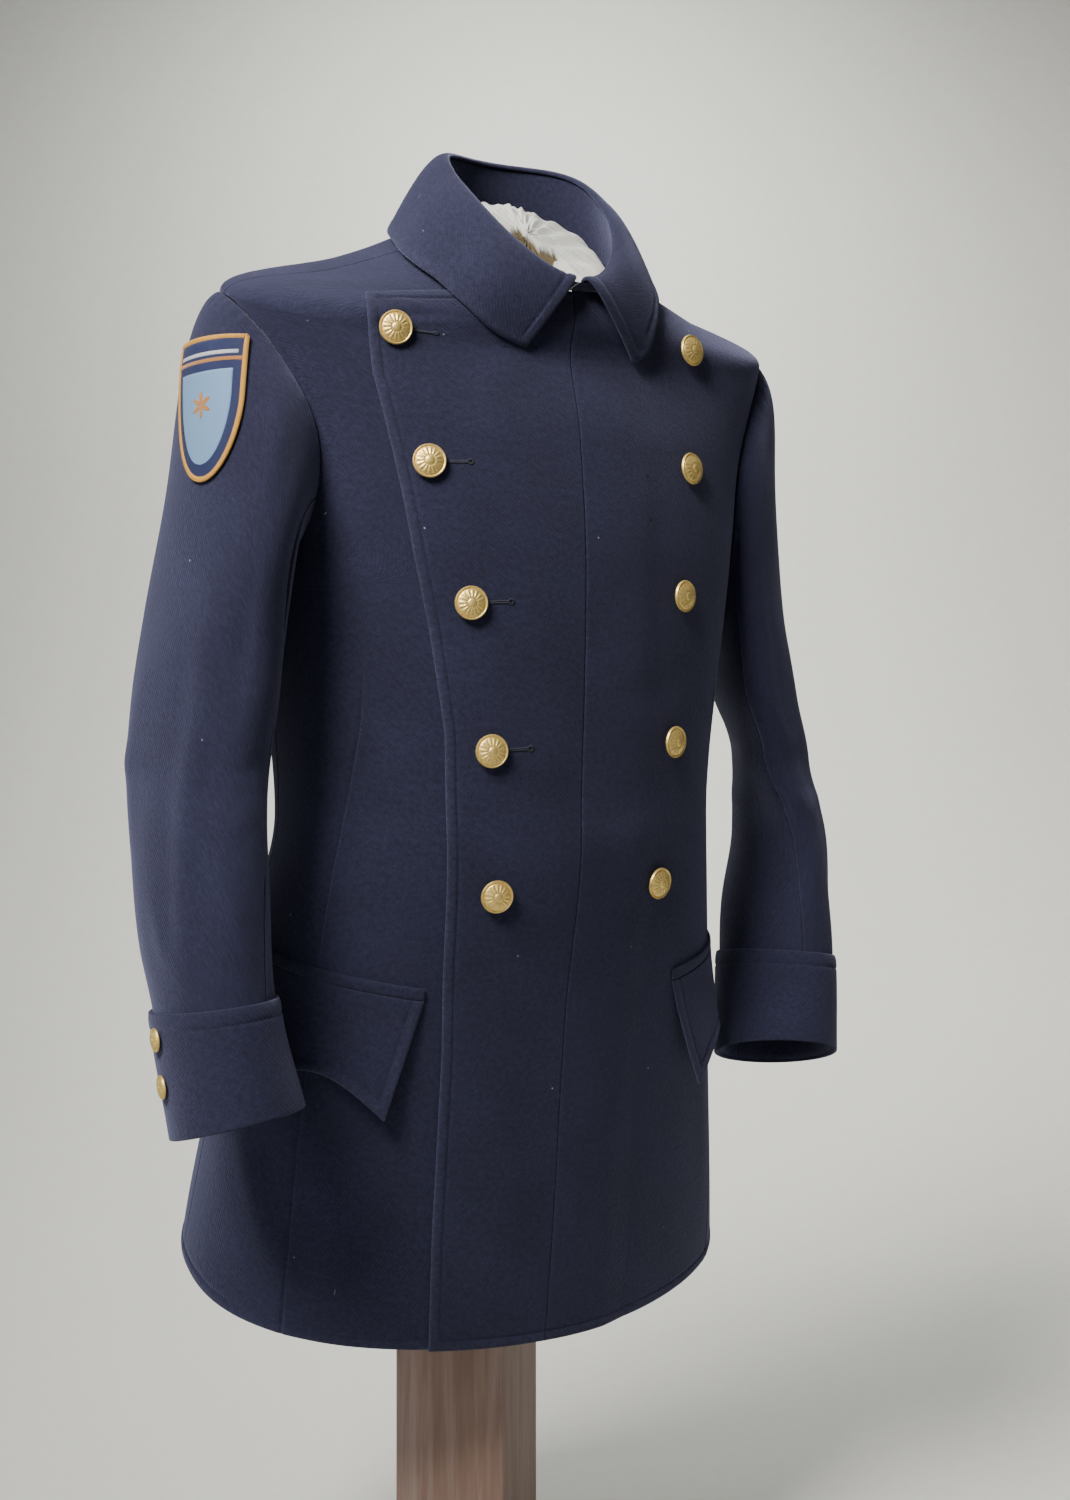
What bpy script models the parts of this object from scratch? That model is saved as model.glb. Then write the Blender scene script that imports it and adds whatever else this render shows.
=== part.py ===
"""Double-breasted police tunic on a limbless dress form and a square wooden post.

Metres, +Z up. The tunic faces -Y and the wearer's right is -X. The origin is the middle
of the underside of the stand's base. Body levels count up along the cloth, angles are in
degrees from the centre front, positive towards the wearer's left, and an arc is the
length along a level from the centre front.
"""

import math

import bpy
import numpy as np
from mathutils import Vector

CLOTH = 0.0024  # thickness of the wool cloth with its backing
LAYER = 0.0007  # air between two layers that lie on each other
SEAM = 0.0004  # gap between two pieces that are sewn edge to edge
ROUNDNESS = 2.2  # power of the superellipse that the body's rings follow

# The body's rings: level along the cloth, height at the side, how far the front hangs
# below the side, centre in Y, half width, depth in front of the centre and behind it.
BODY_COLUMNS = ("level", "height", "dip", "centre", "width", "front", "back")
BODY_RINGS = (
    (0.222, 0.222, 0.047, 0.017, 0.215, 0.126, 0.136),
    (0.300, 0.300, 0.034, 0.004, 0.205, 0.124, 0.128),
    (0.440, 0.440, 0.018, -0.018, 0.187, 0.121, 0.118),
    (0.550, 0.550, 0.010, -0.043, 0.168, 0.116, 0.104),
    (0.640, 0.640, 0.006, -0.042, 0.176, 0.121, 0.108),
    (0.730, 0.730, 0.004, -0.040, 0.190, 0.125, 0.114),
    (0.820, 0.820, 0.012, -0.045, 0.203, 0.113, 0.106),
    (0.905, 0.905, 0.034, -0.060, 0.220, 0.084, 0.078),
    (0.980, 0.928, 0.034, -0.074, 0.145, 0.076, 0.068),
    (1.050, 0.954, 0.038, -0.085, 0.073, 0.062, 0.060),
)
HEM_LEVEL, NECK_LEVEL = 0.222, 1.050
ARMHOLE_MIDDLE, ARMHOLE_RISE = 0.8075, 0.0975  # levels of the armhole's middle and reach
ARMHOLE_FRONT, ARMHOLE_BACK = 33.0, 30.0  # degrees that it takes from the front and back
SIDE_DRIFT, SIDE_DRIFT_LEVELS = 10.0, 0.25  # the side seam runs back below the armhole
CENTRE_BACK = 180.0

# The left front's over edge: level, and the arc at which the edge lies.
OVER_COLUMNS = ("level", "arc")
OVER_EDGE = (
    (0.222, -0.088), (0.294, -0.090), (0.409, -0.090), (0.525, -0.096), (0.614, -0.100),
    (0.682, -0.112), (0.732, -0.123), (0.802, -0.135), (0.860, -0.146), (0.958, -0.150),
    (0.974, -0.125), (0.994, -0.090), (1.020, -0.048), (1.046, -0.010),
)
LAPEL_TOP = 1.046
UNDERLAP = 0.045  # how far the right front runs on under the left one
UNDERLAP_NECK = 0.012
STEP_ARC = 0.030  # the left front steps down over this arc past the underlap

# Sleeve rings: height, distance of the centre from the middle, centre in Y, half length
# front to back, half thickness, turn of the front end inwards (degrees), and how much
# higher the ring's front and its outer side are than its centre.
SLEEVE_COLUMNS = ("height", "out", "centre", "long", "thin", "turn", "front_up", "outer_up")
SLEEVE_RIGHT = (
    (0.700, 0.2285, -0.066, 0.078, 0.035, 5, 0.000, -0.004),
    (0.640, 0.2342, -0.058, 0.078, 0.0357, 7, 0.000, -0.004),
    (0.590, 0.2382, -0.056, 0.075, 0.0347, 7, 0.002, -0.004),
    (0.530, 0.2437, -0.070, 0.068, 0.0347, 7, 0.003, -0.003),
    (0.470, 0.2460, -0.088, 0.060, 0.035, 6, 0.004, -0.003),
    (0.428, 0.2440, -0.100, 0.054, 0.0345, 2, 0.005, -0.004),
    (0.356, 0.2360, -0.120, 0.050, 0.0374, -3, 0.010, -0.007),
)
SLEEVE_LEFT = (
    (0.700, 0.2300, -0.045, 0.076, 0.030, 31, 0.000, -0.004),
    (0.640, 0.2390, -0.045, 0.077, 0.032, 31, 0.000, -0.004),
    (0.590, 0.2550, -0.045, 0.073, 0.029, 31, 0.002, -0.004),
    (0.530, 0.2590, -0.050, 0.068, 0.028, 18, 0.003, -0.004),
    (0.470, 0.2480, -0.062, 0.062, 0.030, 6, 0.004, -0.004),
    (0.428, 0.2400, -0.072, 0.057, 0.032, 0, 0.006, -0.005),
    (0.356, 0.2300, -0.085, 0.052, 0.035, -4, 0.013, -0.010),
)
SLEEVE_TOP, SLEEVE_END, CUFF_TOP, CUFF_END = 0.700, 0.358, 0.432, 0.356
HEAD_ROWS, ARM_ROWS, CUFF_ROWS = 8, 11, 4
HEAD_OUT, HEAD_DOWN = 0.14, 0.50  # how full the sleeve head is, as parts of its length
HEAD_FALL = 0.6  # how steeply the head falls away from the shoulder
SLEEVE_STEPS = 24  # columns round a sleeve
FRONT_SEAM, BACK_SEAM = -24.0, 171.0  # turns at which the two sleeve pieces meet
SEAM_RADIUS = 0.025  # least radius at which the sleeve seams keep their gap
ARMHOLE_LIFT = 0.0022  # the sleeve's edge stands this far off the body's surface
CUFF_LAYER = 0.0011  # air between the sleeve and its cuff

# Collar fold: half width, depth in front and behind, centre in Y, middle height, rise
# from front to back, and how much the sides stand above a plain slant.
FOLD = {"width": 0.0616, "front": 0.070, "back": 0.054, "centre": -0.090,
        "height": 0.989, "rise": 0.0555, "sides": 0.0125}
COLLAR_CLOTH = 0.0026
STAND_FOOT = 0.0024  # height of the stand's lower edge above the neck's level
COLLAR_OPENING = 3.0  # degrees that the leaf stays short of the centre front
STAND_OPENING = 0.4  # and the stand, whose ends are hooked together
# Lower edge of the collar leaf: angle on the body, level; one row for each chosen angle.
LEAF_COLUMNS = ("round", "angle", "level")
LEAF_RIGHT = (
    (0.00, -9.5, 0.908), (0.06, -14.5, 0.922), (0.13, -22.0, 0.948), (0.22, -33.0, 0.975),
    (0.34, -52.0, 1.004), (0.46, -76.0, 1.018), (0.58, -100.0, 1.024), (1.00, -180.0, 1.020),
)
LEAF_LEFT = (
    (0.00, 13.5, 0.903), (0.06, 16.0, 0.914), (0.13, 20.0, 0.943), (0.22, 28.0, 0.978),
    (0.34, 42.0, 1.009), (0.46, 65.0, 1.024), (0.58, 93.0, 1.029), (1.00, 180.0, 1.020),
)
LEAF_STEPS, LEAF_ROWS, STAND_ROWS = 15, 6, 4

# Hip pockets: arcs and levels of the welt's and the flap's corners.
POCKET_FRONT, POCKET_BACK = 0.104, 0.244
POCKET_LEVEL, POCKET_SLANT, WELT_HEIGHT = 0.449, 0.104, 0.008
FLAP_TIP_FRONT, FLAP_TIP_BACK, FLAP_TIP_LEVEL = 0.127, 0.216, 0.367
FLAP_ARCH, FLAP_BOW = 0.020, 0.013
FLAP_COLUMNS, FLAP_ROWS, FLAP_CLOTH = 12, 5, 0.0022

# Front buttons: the arc and level of each, one row from the top down for each column.
BUTTONS_RIGHT = ((-0.130, 0.909), (-0.112, 0.796), (-0.085, 0.699), (-0.069, 0.603), (-0.062, 0.510))
BUTTONS_LEFT = ((0.110, 0.936), (0.102, 0.808), (0.092, 0.710), (0.085, 0.608), (0.074, 0.512))
BUTTON_RADIUS, CUFF_BUTTON_RADIUS = 0.0115, 0.0078
# Half section of a button from its crown to its shank, in parts of its radius.
BUTTON_PROFILE = (
    (0.00, 0.58), (0.45, 0.52), (0.82, 0.33), (0.92, 0.35), (1.00, 0.25),
    (0.34, 0.13), (0.34, 0.00), (0.00, 0.00),
)
BUTTON_STEPS, CUFF_BUTTON_STEPS = 12, 10
CUFF_BUTTON_ANGLE = 92.0  # degrees round the cuff from its front
CUFF_BUTTON_HEIGHTS = (0.4165, 0.3885)

# Shield patch on the right sleeve: where its middle lies round the sleeve, its top and
# tip, half width, and the part of its height at which the sides turn in.
PATCH_ANGLE, PATCH_TOP, PATCH_TIP, PATCH_HALF, PATCH_TURN = 80.0, 0.868, 0.772, 0.030, 0.42
PATCH_LEAN = 0.17  # the tip is forward of the top edge, per metre of height
PATCH_THICK, PATCH_LAYER, PATCH_COLUMNS, PATCH_ROWS = 0.0012, 0.0012, 8, 9

# Dress form: level, and how far its skin lies inside the body's surface.
FORM_COLUMNS = ("level", "inset")
FORM_INSET = (
    (0.330, 0.016), (0.600, 0.012), (0.800, 0.011), (0.880, 0.008), (0.925, 0.0028), (1.050, 0.0026),
)
FORM_LOW, FORM_HIGH, FORM_STEPS = 0.330, 1.030, 28
# Covered neck cap: parts of the neck's size, and of the way up from the form to the fold.
NECK_CAP = ((0.96, 0.10), (0.86, 0.32), (0.77, 0.42), (0.60, 0.48), (0.34, 0.51))

FORM_FOOT = 0.330
STAND_RISE = 0.075  # the tunic and the form are set this high above the base's underside
POST_SIDE, POST_TURN = 0.086, 42.0
BASE_SIDE, BASE_THICK, BASE_ROUND = 0.280, 0.024, 0.004
PARTING = 0.0003  # gap left where two hard pieces meet


def columns(names, rows):
    """A table's columns by name, as arrays."""
    table = np.array(rows, float)
    return {name: table[:, k] for k, name in enumerate(names)}


def smooth(x, xs, ys):
    """Monotone cubic curve through the points xs, ys."""
    order = np.argsort(xs)
    xs, ys = xs[order], ys[order]
    step = np.diff(xs)
    slope = np.diff(ys) / step
    tangent = np.zeros_like(ys)
    before, after = 2 * step[1:] + step[:-1], step[1:] + 2 * step[:-1]
    same = slope[:-1] * slope[1:] > 0
    safe = np.where(same, slope[:-1], 1.0), np.where(same, slope[1:], 1.0)
    tangent[1:-1] = np.where(same, (before + after) / (before / safe[0] + after / safe[1]), 0)
    tangent[0], tangent[-1] = slope[0], slope[-1]
    x = np.asarray(x, float)
    k = np.clip(np.searchsorted(xs, x) - 1, 0, len(xs) - 2)
    t = (x - xs[k]) / step[k]
    low = (1 + 2 * t) * (1 - t) ** 2 * ys[k] + t * (1 - t) ** 2 * step[k] * tangent[k]
    high = t * t * (3 - 2 * t) * ys[k + 1] + t * t * (t - 1) * step[k] * tangent[k + 1]
    return low + high


def ease(x):
    """0 below 0, 1 above 1, and a smooth rise between."""
    x = np.clip(x, 0.0, 1.0)
    return x * x * (3 - 2 * x)


def unit(vectors):
    return vectors / np.linalg.norm(vectors, axis=-1, keepdims=True)


BODY = columns(BODY_COLUMNS, BODY_RINGS)
OVER = columns(OVER_COLUMNS, OVER_EDGE)


def body(angle, level):
    """Point of the body's surface: a superellipse ring that hangs lower in front."""
    angle, level = np.broadcast_arrays(np.asarray(angle, float), np.asarray(level, float))
    ring = {name: smooth(level, BODY["level"], BODY[name]) for name in BODY_COLUMNS[1:]}
    sine, cosine = np.sin(np.radians(angle)), np.cos(np.radians(angle))
    scale = (np.abs(sine) ** ROUNDNESS + np.abs(cosine) ** ROUNDNESS) ** (-1 / ROUNDNESS)
    depth = np.where(cosine > 0, ring["front"], ring["back"])
    x = ring["width"] * sine * scale
    y = ring["centre"] - depth * cosine * scale
    return np.stack([x, y, ring["height"] - ring["dip"] * cosine], -1)


def lift(angle, level, distance):
    """Point of the body's surface moved out along its normal."""
    angle, level = np.broadcast_arrays(np.asarray(angle, float), np.asarray(level, float))
    turn, rise = 0.5, 0.002
    along = body(angle + turn, level) - body(angle - turn, level)
    low = np.clip(level - rise, HEM_LEVEL, NECK_LEVEL)
    up = body(angle, np.clip(level + rise, HEM_LEVEL, NECK_LEVEL)) - body(angle, low)
    normal = unit(np.cross(along, up))
    return body(angle, level) + normal * np.asarray(distance)[..., None]


def angle_at(arc, level):
    """Angle at which the level's length from the centre front is the arc."""
    turns = np.linspace(-180, 180, 361)
    arc, level = np.broadcast_arrays(np.asarray(arc, float), np.asarray(level, float))
    found = np.empty(arc.size)
    for k, (one_arc, one_level) in enumerate(zip(arc.ravel(), level.ravel())):
        ring = body(turns, one_level)
        length = np.append(0, np.cumsum(np.linalg.norm(np.diff(ring, axis=0), axis=1)))
        found[k] = np.interp(one_arc, length - length[180], turns)
    return found.reshape(arc.shape)


def shifted(angle, level, distance):
    """The angle moved on along its level by a short distance."""
    span = np.linalg.norm(body(angle + 0.5, level) - body(angle - 0.5, level), axis=-1)
    return angle + distance / span


def body_levels():
    """Levels of the panels' rows: plain up to the armhole, by its ellipse beside it."""
    below = np.linspace(HEM_LEVEL, ARMHOLE_MIDDLE - ARMHOLE_RISE, 11)[:-1]
    sweep = np.radians(np.linspace(-90, 90, 8))
    beside = ARMHOLE_MIDDLE + ARMHOLE_RISE * np.sin(sweep)
    above = np.array([0.925, 0.958, 0.974, 0.994, 1.020, LAPEL_TOP, NECK_LEVEL])
    return np.concatenate([below, beside, above])


def side_angle(level, taken):
    """Size of the angle at which a panel ends beside: side seam, armhole, shoulder seam."""
    sweep = (level - ARMHOLE_MIDDLE) / ARMHOLE_RISE
    beside = 90 - taken * np.sqrt(np.clip(1 - sweep**2, 0, 1))
    drift = ARMHOLE_MIDDLE - ARMHOLE_RISE - level
    below = 90 + SIDE_DRIFT * ease(drift / SIDE_DRIFT_LEVELS)
    return np.where(level < ARMHOLE_MIDDLE - ARMHOLE_RISE, below, beside)


def over_arc(level):
    return np.interp(level, OVER["level"], OVER["arc"])


def underlap_arc(level):
    """The underlap narrows to the neck above the top buttons."""
    return UNDERLAP + (UNDERLAP_NECK - UNDERLAP) * ease((level - 0.93) / 0.10)


def between(first, last, count):
    """Columns evenly spaced between two edges, one row for each level."""
    share = np.linspace(0, 1, count)
    return first[:, None] * (1 - share) + last[:, None] * share


def collection(name, helpers=False):
    made = bpy.data.collections.new(name)
    bpy.context.scene.collection.children.link(made)
    made.hide_render = helpers
    return made


def material(name, colour, roughness, metallic=0.0):
    made = bpy.data.materials.new(name)
    made.use_nodes = True
    shader = made.node_tree.nodes["Principled BSDF"]
    shader.inputs["Base Color"].default_value = (*colour, 1.0)
    shader.inputs["Roughness"].default_value = roughness
    shader.inputs["Metallic"].default_value = metallic
    return made


def add_object(name, points, faces, finish):
    """New object of the part from points and faces, with its faces turned outwards."""
    mesh = bpy.data.meshes.new(name)
    mesh.from_pydata([tuple(point) for point in points], [], faces)
    mesh.materials.append(finish)
    if signed_volume(np.asarray(points), faces) < 0:
        mesh.flip_normals()
    mesh.shade_smooth()
    mesh.set_sharp_from_angle(angle=math.radians(40))
    made = bpy.data.objects.new(name, mesh)
    made.parent = PLACE
    PARTS.objects.link(made)
    return made


def signed_volume(points, faces):
    total = 0.0
    for face in faces:
        corners = points[list(face)]
        for k in range(1, len(face) - 1):
            total += np.dot(corners[0], np.cross(corners[k], corners[k + 1]))
    return total


def wall(name, inner, outer, finish, round_closed=False):
    """Closed wall between two grids of points of the same shape.

    The rows and columns of both grids match, and strips close its edges. With
    round_closed, the last column joins the first, so only the two ends are closed.
    """
    rows, cols = inner.shape[:2]
    points = np.concatenate([outer.reshape(-1, 3), inner.reshape(-1, 3)])
    other = rows * cols
    faces = []
    spans = cols if round_closed else cols - 1
    for row in range(rows - 1):
        for col in range(spans):
            a, b = row * cols + col, row * cols + (col + 1) % cols
            c, d = b + cols, a + cols
            for one, two, three in ((a, b, c), (a, c, d)):
                faces.append((one, two, three))
                faces.append((other + three, other + two, other + one))
    for row, turned in ((0, True), (rows - 1, False)):
        for col in range(spans):
            a, b = row * cols + col, row * cols + (col + 1) % cols
            strip = (a, b, other + b, other + a)
            faces.append(strip[::-1] if turned else strip)
    if not round_closed:
        for col, turned in ((0, False), (cols - 1, True)):
            for row in range(rows - 1):
                a, d = row * cols + col, (row + 1) * cols + col
                strip = (a, d, other + d, other + a)
                faces.append(strip[::-1] if turned else strip)
    return add_object(name, points, faces, finish)


def grid_normals(points, round_closed=False):
    """Normals of a grid of points, from its neighbours."""
    if round_closed:
        along = np.roll(points, -1, axis=1) - np.roll(points, 1, axis=1)
    else:
        along = np.gradient(points, axis=1)
    return unit(np.cross(along, np.gradient(points, axis=0)))


def wall_about(name, middle, normals, thick, finish, round_closed=False):
    half = normals * thick / 2
    return wall(name, middle - half, middle + half, finish, round_closed)


def panel(name, angles, levels, distance, finish):
    """Cloth wall over a grid of angles and levels, centred at a distance off the body."""
    rows = np.broadcast_to(levels[:, None], angles.shape)
    inner = lift(angles, rows, distance - CLOTH / 2)
    outer = lift(angles, rows, distance + CLOTH / 2)
    return wall(name, inner, outer, finish)


def build_fronts(cloth):
    levels = body_levels()
    lap = levels[levels <= LAPEL_TOP + 1e-6]
    side = side_angle(levels, ARMHOLE_FRONT)
    right_side = shifted(-side, levels, SEAM / 2)
    over = angle_at(over_arc(levels), levels)
    under_end = angle_at(underlap_arc(levels), levels)
    middle = np.zeros_like(levels)
    beside_lap = between(right_side, over, 8)
    under_lap = between(over, middle, 6)
    past_middle = between(middle, under_end, 4)
    angles = np.concatenate([beside_lap, under_lap[:, 1:], past_middle[:, 1:]], axis=1)
    panel("forepart_right", angles, levels, np.zeros_like(angles), cloth)

    above = CLOTH + LAYER
    seam_right = shifted(middle, levels, -SEAM / 2)
    angles = between(over, seam_right, 6)[: len(lap)]
    panel("lapel_left", angles, lap, np.full(angles.shape, above), cloth)

    step_end = angle_at(underlap_arc(levels) + STEP_ARC, levels)
    seam_left = shifted(middle, levels, SEAM / 2)
    left_side = shifted(side, levels, -SEAM / 2)
    near_middle = between(seam_left, under_end, 4)
    stepping = between(under_end, step_end, 4)
    beside = between(step_end, left_side, 9)
    angles = np.concatenate([near_middle, stepping[:, 1:], beside[:, 1:]], axis=1)
    fall = np.ones(angles.shape[1])
    fall[4:7] = 1 - ease(np.array([0.25, 0.62, 1.0]))
    fall[7:] = 0
    rows = np.broadcast_to(fall * above, angles.shape)
    panel("forepart_left", angles, levels, rows, cloth)


def build_back(cloth):
    levels = body_levels()
    side = 180 - side_angle(levels, ARMHOLE_BACK)
    side = np.where(levels < ARMHOLE_MIDDLE - ARMHOLE_RISE, 180 - side, side)
    side = np.where(levels >= ARMHOLE_MIDDLE - ARMHOLE_RISE, np.maximum(side, 90), side)
    centre = np.full_like(levels, CENTRE_BACK)
    inner, outer = shifted(centre, levels, -SEAM / 2), shifted(side, levels, SEAM / 2)
    angles = between(outer, inner, 11)
    panel("back_left", angles, levels, np.zeros_like(angles), cloth)
    panel("back_right", -angles[:, ::-1], levels, np.zeros_like(angles), cloth)


def sleeve_ring(table, side, turns, heights):
    """Points of the sleeve rings at these heights; turns run from the front outwards."""
    ring = {name: smooth(heights, table["height"], table[name]) for name in SLEEVE_COLUMNS[1:]}
    ring = {name: value[:, None] for name, value in ring.items()}
    turn = np.radians(ring["turn"])
    ahead, outward = np.cos(np.radians(turns)), np.sin(np.radians(turns))
    ahead, outward = ahead[None, :], outward[None, :]
    x = ring["out"] - ring["long"] * ahead * np.sin(turn) + ring["thin"] * outward * np.cos(turn)
    y = ring["centre"] - ring["long"] * ahead * np.cos(turn) - ring["thin"] * outward * np.sin(turn)
    z = heights[:, None] + ring["front_up"] * ahead + ring["outer_up"] * outward
    return np.stack([side * x, y, z + 0 * x], -1)


def armhole(side, turns):
    """Points just outside the body along the armhole, and the way out of the body."""
    sweep = np.radians(turns)
    taken = np.where(np.cos(sweep) > 0, ARMHOLE_FRONT, ARMHOLE_BACK)
    angle = side * (90 - taken * np.cos(sweep))
    level = ARMHOLE_MIDDLE + ARMHOLE_RISE * np.sin(sweep)
    start = lift(angle, level, ARMHOLE_LIFT)
    away = unit((lift(angle, level, 0.01) - start) * np.array([1, 1, 0.3]))
    fall = HEAD_FALL * np.clip(np.sin(sweep), 0, 1)
    return start, unit(away - fall[:, None] * np.array([0, 0, 1]))


def sleeve_surface(table, side, turns):
    """Middle surface of a sleeve: a full head from the armhole, then the arm's rings."""
    start, away = armhole(side, turns)
    heights = np.linspace(SLEEVE_TOP, SLEEVE_END, ARM_ROWS)
    arm = sleeve_ring(table, side, turns, heights)
    end = arm[0]
    along = unit(arm[0] - arm[1])
    reach = np.linalg.norm(end - start, axis=-1, keepdims=True)
    first = start + away * reach * HEAD_OUT
    second = end + along * reach * HEAD_DOWN
    share = np.linspace(0, 1, HEAD_ROWS + 1)[:-1, None, None]
    head = (
        (1 - share) ** 3 * start
        + 3 * (1 - share) ** 2 * share * first
        + 3 * (1 - share) * share**2 * second
        + share**3 * end
    )
    return np.concatenate([head, arm])


def sleeve_normals(table, side, turns):
    """The sleeve's outward normals at these turns, the same for both pieces at a seam."""
    along = sleeve_surface(table, side, turns + 1) - sleeve_surface(table, side, turns - 1)
    down = np.gradient(sleeve_surface(table, side, turns), axis=0)
    return side * unit(np.cross(down, along))


def build_sleeve(word, table, side, cloth):
    table = columns(SLEEVE_COLUMNS, table)
    count = SLEEVE_STEPS // 2 + 1
    pull = math.degrees(SEAM / 2 / SEAM_RADIUS)
    outer_turns = np.linspace(FRONT_SEAM + pull, BACK_SEAM - pull, count)
    inner_turns = np.linspace(BACK_SEAM + pull, 360 + FRONT_SEAM - pull, count)
    for piece, turns in (("topsleeve", outer_turns), ("undersleeve", inner_turns)):
        surface = sleeve_surface(table, side, turns)
        normals = sleeve_normals(table, side, turns)
        wall_about(f"{piece}_{word}", surface, normals, CLOTH, cloth)
    around = np.arange(SLEEVE_STEPS) * 360 / SLEEVE_STEPS
    heights = np.linspace(CUFF_TOP, CUFF_END, CUFF_ROWS)
    middle = sleeve_ring(table, side, around, heights)
    normals = outward_round(middle)
    wall_about(f"cuff_{word}", middle + normals * (CLOTH + CUFF_LAYER), normals, CLOTH, cloth, True)


def outward_round(ring_grid):
    """Normals of a closed tube, pointing away from its middle."""
    normals = grid_normals(ring_grid, True)
    away = ring_grid - ring_grid.mean(axis=1, keepdims=True)
    return normals * np.sign((normals * away).sum(-1, keepdims=True))


def fold_line(angle):
    """The collar's fold: a ring that rises from the front to the back."""
    turn = np.radians(angle)
    depth = np.where(np.cos(turn) > 0, FOLD["front"], FOLD["back"])
    x = FOLD["width"] * np.sin(turn)
    y = FOLD["centre"] - depth * np.cos(turn)
    z = FOLD["height"] - FOLD["rise"] * np.cos(turn) - FOLD["sides"] * np.cos(2 * turn)
    return np.stack([x, y, z], -1)


def build_collar(cloth):
    half_round = np.linspace(STAND_OPENING, 180, LEAF_STEPS + 1)
    around = np.concatenate([-half_round, half_round[::-1][1:]])
    seam = lift(around, NECK_LEVEL, np.zeros_like(around)) + np.array([0, 0, STAND_FOOT])
    top = fold_line(around) - np.array([0, 0, COLLAR_CLOTH * 0.9])
    share = np.linspace(0, 1, STAND_ROWS)[:, None, None]
    stand = seam * (1 - share) + top * share
    away = unit((fold_line(around) - fold_line(around).mean(axis=0)) * np.array([1, 1, 0]))
    half = away * COLLAR_CLOTH / 2
    wall("collar_stand", stand - half, stand + half, cloth)

    right = columns(LEAF_COLUMNS, LEAF_RIGHT)
    left = columns(LEAF_COLUMNS, LEAF_LEFT)
    part = np.linspace(0, 1, LEAF_STEPS + 1) ** 1.3
    angle = np.concatenate([smooth(part, right["round"], right["angle"]),
                            smooth(part, left["round"], left["angle"])[::-1][1:]])
    level = np.concatenate([smooth(part, right["round"], right["level"]),
                            smooth(part, left["round"], left["level"])[::-1][1:]])
    fold_angle = np.concatenate([-(COLLAR_OPENING + (180 - COLLAR_OPENING) * part),
                                 (COLLAR_OPENING + (180 - COLLAR_OPENING) * part)[::-1][1:]])
    start = fold_line(fold_angle) + np.array([0, 0, COLLAR_CLOTH / 2])
    rest = 2 * CLOTH + 2 * LAYER + COLLAR_CLOTH / 2 - CLOTH / 2
    end = lift(angle, level, rest)
    away = unit((fold_line(fold_angle) - fold_line(fold_angle).mean(axis=0)) * np.array([1, 1, 0]))
    bend = start + away * 0.012 + np.array([0, 0, 0.001])
    share = np.linspace(0, 1, LEAF_ROWS)[:, None, None] ** 1.2
    leaf = (1 - share) ** 2 * start + 2 * (1 - share) * share * bend + share**2 * end
    normals = grid_normals(leaf)
    normals = normals * np.sign((normals * away).sum(-1, keepdims=True).mean())
    wall_about("collar_leaf", leaf, normals, COLLAR_CLOTH, cloth)


def on_body(side, arcs, levels, inner, outer, name, finish):
    """Piece that lies on a front: a grid of arcs and levels, between two distances."""
    angle = side * np.abs(angle_at(side * arcs, levels))
    return wall(name, lift(angle, levels, inner), lift(angle, levels, outer), finish)


def build_pockets(word, side, cloth):
    base = CLOTH / 2 + LAYER
    across = np.linspace(0, 1, FLAP_COLUMNS)
    arcs = POCKET_FRONT + (POCKET_BACK - POCKET_FRONT) * across
    slant = POCKET_SLANT * (arcs - POCKET_FRONT)
    rows = np.array([0.0, 1.0])[:, None]
    welt_arcs = np.broadcast_to(arcs, (2, FLAP_COLUMNS))
    welt_levels = POCKET_LEVEL + slant - WELT_HEIGHT * (1 - rows)
    shape = np.full(welt_arcs.shape, base)
    on_body(side, welt_arcs, welt_levels, shape, shape + CLOTH * 0.7, f"pocket_welt_{word}", cloth)

    down = np.linspace(0, 1, FLAP_ROWS)[:, None]
    tip_arcs = FLAP_TIP_FRONT + (FLAP_TIP_BACK - FLAP_TIP_FRONT) * across
    tip_levels = FLAP_TIP_LEVEL + POCKET_SLANT * (tip_arcs - FLAP_TIP_FRONT)
    tip_levels = tip_levels + FLAP_ARCH * np.sin(np.pi * across)
    top_levels = POCKET_LEVEL + slant - WELT_HEIGHT - SEAM
    flap_arcs = arcs * (1 - down) + tip_arcs * down
    flap_levels = top_levels * (1 - down) + tip_levels * down
    bow = base + FLAP_BOW * down**1.4 * (1 - 0.6 * across)
    on_body(side, flap_arcs, flap_levels, bow, bow + FLAP_CLOTH, f"pocket_flap_{word}", cloth)


def button_mesh(name, radius, steps, finish):
    """Turned button: its half section carried round Z by a Screw modifier."""
    points = [(part * radius, 0, rise * radius) for part, rise in BUTTON_PROFILE]
    mesh = bpy.data.meshes.new(name)
    mesh.from_pydata(points, [(k, k + 1) for k in range(len(points) - 1)], [])
    mesh.materials.append(finish)
    return mesh, steps


def add_button(name, shape, place, normal):
    mesh, steps = shape
    made = bpy.data.objects.new(name, mesh)
    turned = made.modifiers.new("turned", "SCREW")
    turned.steps = turned.render_steps = steps
    turned.use_merge_vertices = True
    turned.merge_threshold = 0.00005
    turned.use_smooth_shade = False
    made.location = place
    made.parent = PLACE
    made.rotation_mode = "QUATERNION"
    made.rotation_quaternion = Vector(normal).to_track_quat("Z", "Y")
    PARTS.objects.link(made)


def build_front_buttons(shape):
    cloth_on = {"right": 1.5 * CLOTH + LAYER, "left": CLOTH / 2}
    for word, places in (("right", BUTTONS_RIGHT), ("left", BUTTONS_LEFT)):
        for row, (arc, level) in enumerate(places, start=1):
            angle = angle_at(arc, level)
            base = lift(angle, level, cloth_on[word] + PARTING)
            normal = base - body(angle, level)
            add_button(f"button_{word}_{row}", shape, base, normal)


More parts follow.
